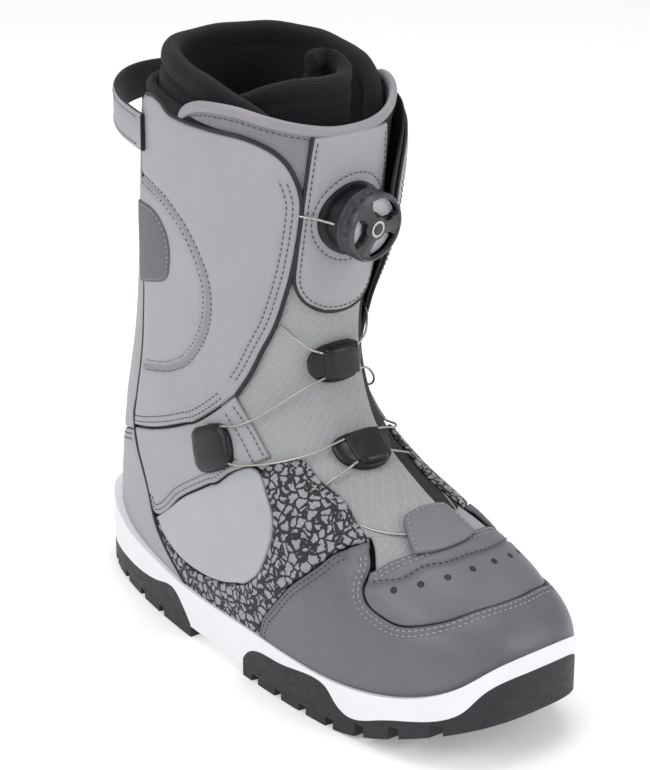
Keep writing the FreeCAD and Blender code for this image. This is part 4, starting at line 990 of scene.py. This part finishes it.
# the rolled binding along the tongue's upper edge
rim_line = curve(np.array([(-90, 262), (-88.5, 268), (-84, 272), (-76, 274.3), (-60, 274.3), (-44, 271),
                           (-27.6, 267.6), (-8, 264.8), (12, 265.2), (30, 268), (44, 271.5), (58, 274),
                           (70, 274), (80, 270)]), 1.5)
roll = [(-1.9, -1.6), (-1.7, 0.3), (-1.2, 1.7), (0.0, 2.6), (1.3, 2.3), (2.1, 1.1), (2.2, -0.6), (1.8, -2.0),
        (1.0, -2.9), (0.2, -3.0), (-0.9, -2.7)]
rim_ups = np.tile([0, 0, 1.0], (len(rim_line), 1))
rim = sweep(at(rim_line, -2.6), [(-a, b) for a, b in roll], ups=rim_ups)
rim_object = mesh_object("tongue_rim", *rim, BINDING,
                         {"edge": np.full(len(rim[0]), 3.0), "press": np.zeros(len(rim[0]))})
smoother = rim_object.modifiers.new("smooth", "SUBSURF")
smoother.levels = smoother.render_levels = 1
ready(rim_object, "tongue", ["tongue_rim"])
rim_row = rim_line[8:-6] + (0, -3.9)
stitches[("tongue", "dark")] += thread(rim_row, -0.9)


def lace_guide(name, centre_y, centre_z, half_width, half_height, body="tongue"):
    """A moulded guide: an oval foot with a raised cross saddle, and a groove in each end for the lace."""
    parts = []
    turn = np.linspace(0, 2 * np.pi, 49)[:-1]
    profiles = ((1.0, -1.2), (1.0, 0.9), (0.96, 1.5), (0.88, 1.8), (0.76, 1.95), (0.74, 4.0), (0.70, 4.7),
                (0.60, 5.1), (0.36, 5.2), (0.12, 5.2))
    rings = []
    for share, lift in profiles:
        squeeze, tall, power = (1.0, 1.0, 0.8) if lift < 1.9 else (0.7, 1.2, 0.4)
        y = centre_y + half_width * share * squeeze * np.sign(np.cos(turn)) * np.abs(np.cos(turn)) ** power
        z = centre_z + half_height * share * tall * np.sign(np.sin(turn)) * np.abs(np.sin(turn)) ** power
        tz = front(np.stack([y, z], 1))
        rings.append(at(tz, lift))
    count = len(turn)
    faces = ring_faces(len(profiles), count)
    faces.append(tuple((len(profiles) - 1) * count + k for k in range(count)))
    parts.append((np.vstack(rings), faces))
    for edge in (-0.5, 0.5):
        line = front([(centre_y + edge * half_width, centre_z - 0.72 * half_height),
                      (centre_y + edge * half_width, centre_z + 0.72 * half_height)])
        path = curve(line, 1.2)
        parts.append(sweep(at(path, 3.6), ring_profile(1.5, 10, 0.9), ups=normals(path)))
    made = mesh_object(name, *joined(parts), NYLON)
    return ready(made, body, [name])


lace_guide("tongue_guide_upper", -1, 152, 15, 9.3)
lace_guide("tongue_guide_lower", -1, 115, 15, 6.4)

# ---------------------------------------------------------------- ankle guides

for side_name, hand in SIDES:
    loop = [(-37, 109), (-34, 113), (-27, 116.5), (-19, 118.5), (-13, 115), (-9, 108), (-8.5, 103), (-13, 98.5),
            (-22, 94), (-28, 93), (-33, 98)]
    cover = panel(f"ankle_guide_{side_name}", [side(loop + loop[:1], hand)], NYLON, top=4.4, bottom=0.2,
                  rounding=2.6, crown=(0.5, 8), grid=1.4, step=0.8)
    ready(cover, "shell", [f"ankle_guide_{side_name}"])

# ---------------------------------------------------------------- lace

LACE = [
    (-10, 224.7, 9.5), (-15.5, 225.7, 4.6), (-20, 226.7, 2.6), (-24, 227.1, 1.2), (-29, 227.4, -1.2),
    (-34, 227.6, -2.7), (-40, 226.5, -2.7), (-47, 221, -2.7), (-51, 212, -2.7), (-52, 202, -2.7),
    (-51, 192, -2.7), (-48, 183, -2.7), (-43.5, 176.5, -2.7), (-38, 173, -2.7), (-33, 170, -1.0),
    (-27, 166.5, 1.2), (-19, 161, 2.6), (-10, 157.3, 2.6), (-3.5, 152, 2.6), (-10, 146.7, 2.6), (-19, 144, 2.6),
    (-31, 138.5, 1.6), (-43, 132, 1.6), (-54, 125.5, 1.8), (-64, 120.5, 2.6), (-73, 117.5, 2.6),
    (-81, 115, 2.6), (-86, 109, 2.6), (-82, 103, 2.6), (-73, 102.8, 2.6), (-63, 105.5, 1.8), (-52, 108.7, 1.6),
    (-40, 112, 1.6), (-28, 115, 1.9), (-17, 117.8, 2.6), (-9, 118.8, 2.6), (-3.5, 115, 2.6), (-9, 111.2, 2.6),
    (-18, 108.9, 1.7), (-26, 106.8, 1.0), (-33, 104.8, -1.2), (-38, 102.5, -2.7), (-38, 98.5, -2.7),
    (-34, 95, -2.7), (-27, 92.5, -1.8), (-17, 91.3, -1.2), (-6, 91, -1.0)]
LACE_RADIUS = 0.52


def lace_route(hand):
    route = np.array([(hand * -a, z, d) for a, z, d in LACE])
    return at(route[:, :2], route[:, 2])


def strand(path, radius=LACE_RADIUS):
    """Twisted wire rope: a tube with seven lobes that turn along its length."""
    a = np.linspace(0, 2 * np.pi, 14, endpoint=False)
    shape = np.stack([np.cos(a), np.sin(a)], 1) * (radius * (1 + 0.12 * np.cos(7 * a)))[:, None]
    length = np.concatenate([[0], np.cumsum(np.linalg.norm(np.diff(path, axis=0), axis=1))])
    return sweep(path, shape, twist=length * 0.9)


def stretch(hand, first, last):
    route = lace_route(hand)
    whole = curve(route[max(0, first - 1):last + 3], 0.7, space=lambda p: p)
    start, end = (route[first] + route[first + 1]) / 2, (route[last] + route[last + 1]) / 2
    i = int(np.argmin(((whole - start) ** 2).sum(1)))
    j = int(np.argmin(((whole - end) ** 2).sum(1)))
    path = whole[i:j + 1].copy()
    path[0], path[-1] = start, end
    return path


STRETCHES = {
    "lace_spool_ends": (0, 2, "tongue"), "lace_dial_spans": (2, 4, "span"), "lace_upper_runs": (4, 13, "shell"),
    "lace_upper_spans": (13, 16, "span"), "lace_upper_turns": (16, 19, "tongue"),
    "lace_crossing_spans": (19, 24, "span"), "lace_ankle_turns": (24, 28, "shell"),
    "lace_instep_spans": (28, 34, "span"), "lace_lower_turns": (34, 37, "tongue"),
    "lace_lower_spans": (37, 40, "span")}
for lace_name, (first, last, holder) in STRETCHES.items():
    for side_name, hand in SIDES:
        path = stretch(hand, first, last)
        piece = mesh_object(f"{lace_name}_{side_name}", *strand(path), STEEL)
        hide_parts(lace_name)
        if holder == "span":
            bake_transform(piece)
        else:
            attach(piece, holder)
toe_path = np.vstack([lace_route(LATERAL)[40:], lace_route(MEDIAL)[40:][::-1][1:]])
toe_path = curve(np.vstack([(toe_path[:1] + toe_path[1:2]) / 2, toe_path[1:-1],
                            (toe_path[-2:-1] + toe_path[-1:]) / 2]), 0.7, space=lambda p: p)
ready(mesh_object("lace_toe_run", *strand(toe_path), STEEL), "shell", ["lace_toe_run"])
paint("cuff_lace_tubes", NYLON)

# ---------------------------------------------------------------- liner

COLLAR_RIM = [(-16, 246), (-26, 257), (-40, 267), (-58, 275.5), (-80, 283), (-104, 289), (-130, 292),
              (-160, 293), (-190, 293), (-215, 292.5), (-240, 291), (-262, 288.5), (-285, 284), (-302, 278),
              (-316, 270), (-326, 260)]
rim_path = curve(COLLAR_RIM, 2.0)
count = len(rim_path)
share = np.linspace(0, 1, count)
rows = []
FLOOR_Z = 236.0
lean = np.interp(share, [0, 0.12, 0.3, 1.0], [2.0, 1.5, 0.0, 0.0])
for (angle, rim_z), inward in zip(rim_path, lean):
    fat = 4.4
    low = min(FLOOR_Z, rim_z - 16)
    outer_z = np.concatenate([np.linspace(low, rim_z - 15, 6)[:-1], np.linspace(rim_z - 15, rim_z - fat, 12)])
    turn = np.linspace(0, np.pi, 9)[1:-1]
    section_z = np.concatenate([outer_z, rim_z - fat + fat * np.sin(turn), outer_z[::-1]])
    depth = np.concatenate([np.zeros(17), fat * (1 - np.cos(turn)), np.full(17, 2 * fat)])
    pinch = 2.0 * np.exp(-((section_z - (rim_z - 10.5)) / 1.8) ** 2)
    depth = depth + np.where(depth < fat, pinch, -pinch * 0.4) + inward + 5.9
    pulled = np.clip((section_z - 250) / 40, 0, 1) * 1.5
    tz = np.stack([np.full(len(depth), angle), np.minimum(section_z, 296)], 1)
    rows.append(at(tz, -(depth + pulled)))
rows = np.array(rows)
m = rows.shape[1]
ripple = 0.25 * np.sin(share * 60)[:, None] * np.ones(m)
rows[:, :, 2] += ripple * np.clip((rows[:, :, 2] - 262) / 20, 0, 1)
faces = grid_faces(count, m)
faces += [tuple(range(m)), tuple((count - 1) * m + k for k in range(m))[::-1]]
along = np.concatenate([[0], np.cumsum(np.linalg.norm(np.diff(rows[:, m // 2], axis=0), axis=1))])
down = np.concatenate([[0], np.cumsum(np.linalg.norm(np.diff(rows[count // 2], axis=0), axis=1))])
chart = np.stack([np.repeat(along, m), np.tile(down, count), np.zeros(count * m)], 1)
collar = mesh_object("liner_collar", rows.reshape(-1, 3), faces, KNIT, {"chart": chart})
ready(collar, "shell", ["liner_collar"])

# the liner's own tongue: a padded sheet inside the collar, its upper edge rolled and curled at one end
wrap_line = curve([(-70, 276, -17), (-50, 281.5, -17.5), (-24, 284.5, -18), (2, 284, -18.5), (22, 284, -19.5),
                   (38, 286.5, -21.5), (50, 289, -26), (52, 290, -32), (40, 289.5, -36), (22, 288, -36)], 1.8,
                  space=lambda p: at(p[:, :2], p[:, 2]))
rows = []
for angle, rim_z, depth in wrap_line:
    fat = 3.6
    levels = np.concatenate([np.linspace(210, rim_z - 14, 5)[:-1], np.linspace(rim_z - 14, rim_z - fat, 8)])
    turn = np.linspace(0, np.pi, 9)[1:-1]
    z = np.concatenate([levels, rim_z - fat + fat * np.sin(turn), levels[::-1]])
    inwards = np.concatenate([np.zeros(12), fat * (1 - np.cos(turn)), np.full(12, 2 * fat)])
    neck = 1.4 * np.exp(-((z - (rim_z - 9)) / 1.8) ** 2)
    inwards = inwards + np.where(inwards < fat, neck, -neck)
    rows.append(at(np.stack([np.full(len(z), angle), z], 1), depth - inwards))
rows = np.array(rows)
count, m = rows.shape[:2]
faces = grid_faces(count, m)
faces += [tuple(range(m)), tuple((count - 1) * m + k for k in range(m))[::-1]]
along = np.concatenate([[0], np.cumsum(np.linalg.norm(np.diff(rows[:, m // 2], axis=0), axis=1))])
down = np.concatenate([[0], np.cumsum(np.linalg.norm(np.diff(rows[count // 2], axis=0), axis=1))])
chart = np.stack([np.repeat(along, m), np.tile(down, count), np.zeros(count * m)], 1)
wrap = mesh_object("liner_wrap", rows.reshape(-1, 3), faces, KNIT, {"chart": chart})
ready(wrap, "shell", ["liner_wrap"])

# the liner's body and the footbed inside it
angles = np.linspace(-180, 180, 97)
heights = np.concatenate([np.linspace(24, 110, 30), np.linspace(116, 254, 30)])
grid_tz = np.array([(a, z) for z in heights for a in angles])
shells = []
for depth in (-5.8, -12.8):
    shells.append(at(grid_tz, depth))
n_a, n_z = len(angles), len(heights)
faces = []
for level, flip in ((0, 1), (1, -1)):
    first = level * n_a * n_z
    for j in range(n_z - 1):
        for i in range(n_a - 1):
            a = first + j * n_a + i
            faces.append((a, a + 1, a + n_a + 1, a + n_a)[::flip])
last = (n_z - 1) * n_a
faces += [(last + i, last + i + 1, last + i + 1 + n_a * n_z, last + i + n_a * n_z) for i in range(n_a - 1)]
spots = np.vstack(shells)
around = np.tile(np.stack([grid_tz[:, 0] * 0.8, grid_tz[:, 1], np.zeros(len(grid_tz))], 1), (2, 1))
liner = mesh_object("liner", spots, faces, JERSEY, {"chart": around})
ready(liner, "shell", ["liner"])

levels = np.linspace(0, 1, 14)[1:]
floor_rows = []
for share in levels:
    ring = at(np.stack([angles, np.full(n_a, 30.0)], 1), -13.6)
    centre = np.array([0.0, 2.0, 0.0])
    spots = centre + (ring - centre) * share
    spots[:, 2] = 21.5 + np.interp(spots[:, 0], [-140, -60, 0, 60, 140], [6, 5, 3, 1.5, 6]) + 4 * share**6
    floor_rows.append(spots)
spots = np.vstack(floor_rows)
faces = [(j * n_a + i, j * n_a + i + 1, (j + 1) * n_a + i + 1, (j + 1) * n_a + i)
         for j in range(len(levels) - 1) for i in range(n_a - 1)]
faces.append(tuple(range(n_a - 1)))
chart = np.stack([spots[:, 0], spots[:, 1], np.zeros(len(spots))], 1)
footbed = mesh_object("footbed", spots, [f[::-1] for f in faces], JERSEY, {"chart": chart})
ready(footbed, "shell", ["footbed"])

# ---------------------------------------------------------------- pull loop

LOOP = curve([(-64, -50), (-72, -48.5), (-92, -43), (-111, -32.5), (-125, -17), (-129.5, 0), (-125, 17),
              (-111, 32.5), (-92, 43), (-72, 48.5), (-64, 50)], 1.5,
             space=lambda p: np.column_stack([p, 0 * p[:, :1]]))
reach = np.abs(LOOP[:, 1])
lift = 251.5 + 4.5 * np.cos(np.clip(reach / 52, 0, 1) * np.pi / 2)
loop_path = np.column_stack([LOOP, lift])
band = [(-1.2, -8.2), (-1.2, 8.2), (-0.7, 8.8), (0.7, 8.8), (1.2, 8.2), (1.2, -8.2), (0.7, -8.8), (-0.7, -8.8)]
loop_ups = np.tile([0, 0, 1.0], (len(loop_path), 1))
v, faces = sweep(loop_path, band, ups=loop_ups)
loop_piece = mesh_object("pull_loop", v, faces, GREY,
                         {"edge": np.tile([3.0], len(v)), "press": np.zeros(len(v))})
loop_piece.data.materials.append(LINING)
for polygon in loop_piece.data.polygons:
    outwards = polygon.center - Vector((-0.05, 0, polygon.center.z))
    polygon.material_index = 0 if polygon.normal.dot(outwards) < 0 else 1
for lift_by in (-6.6, 6.6):
    edge_run = loop_path + unit(np.column_stack([LOOP + (50, 0), 0 * lift])) * 1.35 + (0, 0, lift_by)
    for k in range(3, len(edge_run) - 4, 2):
        stitch = np.linspace(0, 1.35, 4)[:, None] * (edge_run[k + 1] - edge_run[k]) + edge_run[k]
        shape = np.array([ring_profile(0.27 * w, 6) for w in (0.3, 1, 1, 0.3)])
        stitches[("shell", "dark")].append(sweep(stitch, shape))
ready(loop_piece, "shell", ["pull_loop"])

# ---------------------------------------------------------------- dial knob

dial_joint = next(j for j in frame["record"]["behaviour"]["joints"] if j["name"] == "dial_turn")
dial_axis = unit(np.array(dial_joint["axis"], float))
dial_seat = np.array(dial_joint["pos_m"], float) / MM
dial_side = unit(np.cross([0, 0, 1.0], dial_axis))
dial_up = np.cross(dial_axis, dial_side)


def turned(rings, count=180):
    """A turned solid on the dial's axis.  Each ring is (radius, height), one value or one for each angle."""
    a = np.linspace(0, 2 * np.pi, count, endpoint=False)
    spots = []
    for radius, lift in rings:
        radius, lift = np.broadcast_to(radius, count)[:, None], np.broadcast_to(lift, count)[:, None]
        spots.append(dial_seat + dial_axis * lift
                     + (dial_side * np.cos(a)[:, None] + dial_up * np.sin(a)[:, None]) * radius)
    faces = ring_faces(len(rings), count)
    return np.vstack(spots), faces


angle = np.linspace(0, 2 * np.pi, 180, endpoint=False)
notch = 0.7 * np.clip((np.cos(angle * 18) - 0.55) * 6, 0, 1)
ridge = 16.35 - notch
grip = turned([(15.0, 6.4), (15.9, 6.5), (16.3, 7.0), (16.35, 8.6), (15.8, 8.9), (15.8, 9.3), (16.35, 9.6),
               (ridge, 10.0), (ridge, 13.4), (16.35, 13.8), (16.35, 14.5), (15.9, 15.3)])
ready(mesh_object("dial_knob_grip", *grip, GRIP), "knob", ["dial_knob"])
rim_ring = turned([(15.9, 15.3), (15.7, 16.0), (15.3, 16.5), (14.8, 16.7), (14.4, 16.5), (14.1, 15.9),
                   (14.0, 14.6)])
ready(mesh_object("dial_knob_rim", *rim_ring, RIMMED), "knob")
ARMS = np.radians([-4, 128, 236])
face_rings, masks = [], []
for radius in np.linspace(14.1, 0.05, 36):
    offs = (angle[:, None] - ARMS + np.pi) % (2 * np.pi) - np.pi
    away = np.where(np.abs(offs) < 1.4, np.abs(radius * np.sin(offs)), 99).min(1)
    width = 3.3 + 2.6 * np.clip((radius - 8.0) / 6, 0, 1) ** 2
    mask = np.clip((width - away) / 0.5 + 0.5, 0, 1)
    hub = np.clip((6.1 - radius) / 0.5 + 0.5, 0, 1)
    mask = np.maximum(mask * mask * (3 - 2 * mask), hub)
    top = 16.3 + 0.9 * np.exp(-(radius / 6.5) ** 2) - 0.25 * np.clip(away / 3, 0, 1)
    face_rings.append((radius, 12.4 + (top - 12.4) * mask))
    masks.append(mask)
face = turned(face_rings)
spider = mesh_object("dial_knob_face", *face, GLOSS, {"gap": 1 - np.concatenate(masks)})
spider.data.materials.append(SPOOL)
masks = np.concatenate(masks)
for polygon in spider.data.polygons:
    if masks[list(polygon.vertices)].max() < 0.1:
        polygon.material_index = 1
ready(spider, "knob")
mark = turned([(3.9, 17.05), (3.7, 17.2), (3.0, 17.28), (2.8, 17.1)], 60)
ready(mesh_object("dial_knob_mark", *mark, SPOOL), "knob")

# ---------------------------------------------------------------- carried-over CAD nodes

for node, material in {
        "outsole_heel": RUBBER, "outsole_forefoot": RUBBER, "midsole": FOAM, "shank": STEEL,
        "heel_shock_pad": GRIP, "lasting_board": BOARD, "dial_base": NYLON, "dial_spool": SPOOL,
        "lace_winding": STEEL, "dial_drive_disc": GRIP, "dial_screw": STEEL}.items():
    paint(node, material)

for (body, kind), parts in stitches.items():
    if parts:
        thread_look = THREAD_DARK if kind == "dark" else THREAD_LIGHT
        piece = mesh_object(f"stitches_{kind}_{body}", *joined(parts), thread_look)
        ready(piece, body)

# ---------------------------------------------------------------- stage, light and camera

bpy.ops.mesh.primitive_plane_add(size=30)
floor = bpy.context.object
floor.name = "floor"
floor_look = Look("floor", rgb(250, 250, 250), 0.9)
floor_look.set(floor_look.shader, {"Emission Color": (1, 1, 1, 1), "Emission Strength": 0.22})
floor.data.materials.append(floor_look.material)

world = bpy.data.worlds.new("studio")
world.use_nodes = True
bpy.context.scene.world = world
world.node_tree.nodes["Background"].inputs["Color"].default_value = (1, 1, 1, 1)
world.node_tree.nodes["Background"].inputs["Strength"].default_value = 0.5


def softbox(name, place_at, aim, size, power):
    light = bpy.data.lights.new(name, "AREA")
    light.shape, light.size, light.size_y = "RECTANGLE", size[0], size[1]
    light.energy = power
    made = bpy.data.objects.new(name, light)
    made.location = place_at
    made.rotation_euler = (Vector(aim) - Vector(place_at)).to_track_quat("-Z", "Y").to_euler()
    bpy.context.scene.collection.objects.link(made)


TARGET = (0, 0, 0.14)
softbox("key", (0.1, -1.5, 1.2), TARGET, (1.2, 1.0), 12)
softbox("fill", (1.5, 0.7, 0.9), TARGET, (0.9, 1.2), 9)
softbox("top", (-0.2, 0.1, 1.9), TARGET, (1.4, 1.4), 14)

azimuth, elevation, distance = math.radians(51), math.radians(22), 1.1
back = Vector((math.sin(azimuth) * math.cos(elevation), -math.cos(azimuth) * math.cos(elevation),
               math.sin(elevation)))
camera_data = bpy.data.cameras.new("camera")
camera_data.lens = 109.4
camera_data.sensor_width = 36
camera_data.shift_x, camera_data.shift_y = 0.013, -0.0156
camera = bpy.data.objects.new("camera", camera_data)
camera.location = Vector(TARGET) + back * distance
camera.rotation_euler = (-back).to_track_quat("-Z", "Y").to_euler()
bpy.context.scene.collection.objects.link(camera)
bpy.context.scene.camera = camera
bpy.context.scene.view_settings.view_transform = "Standard"
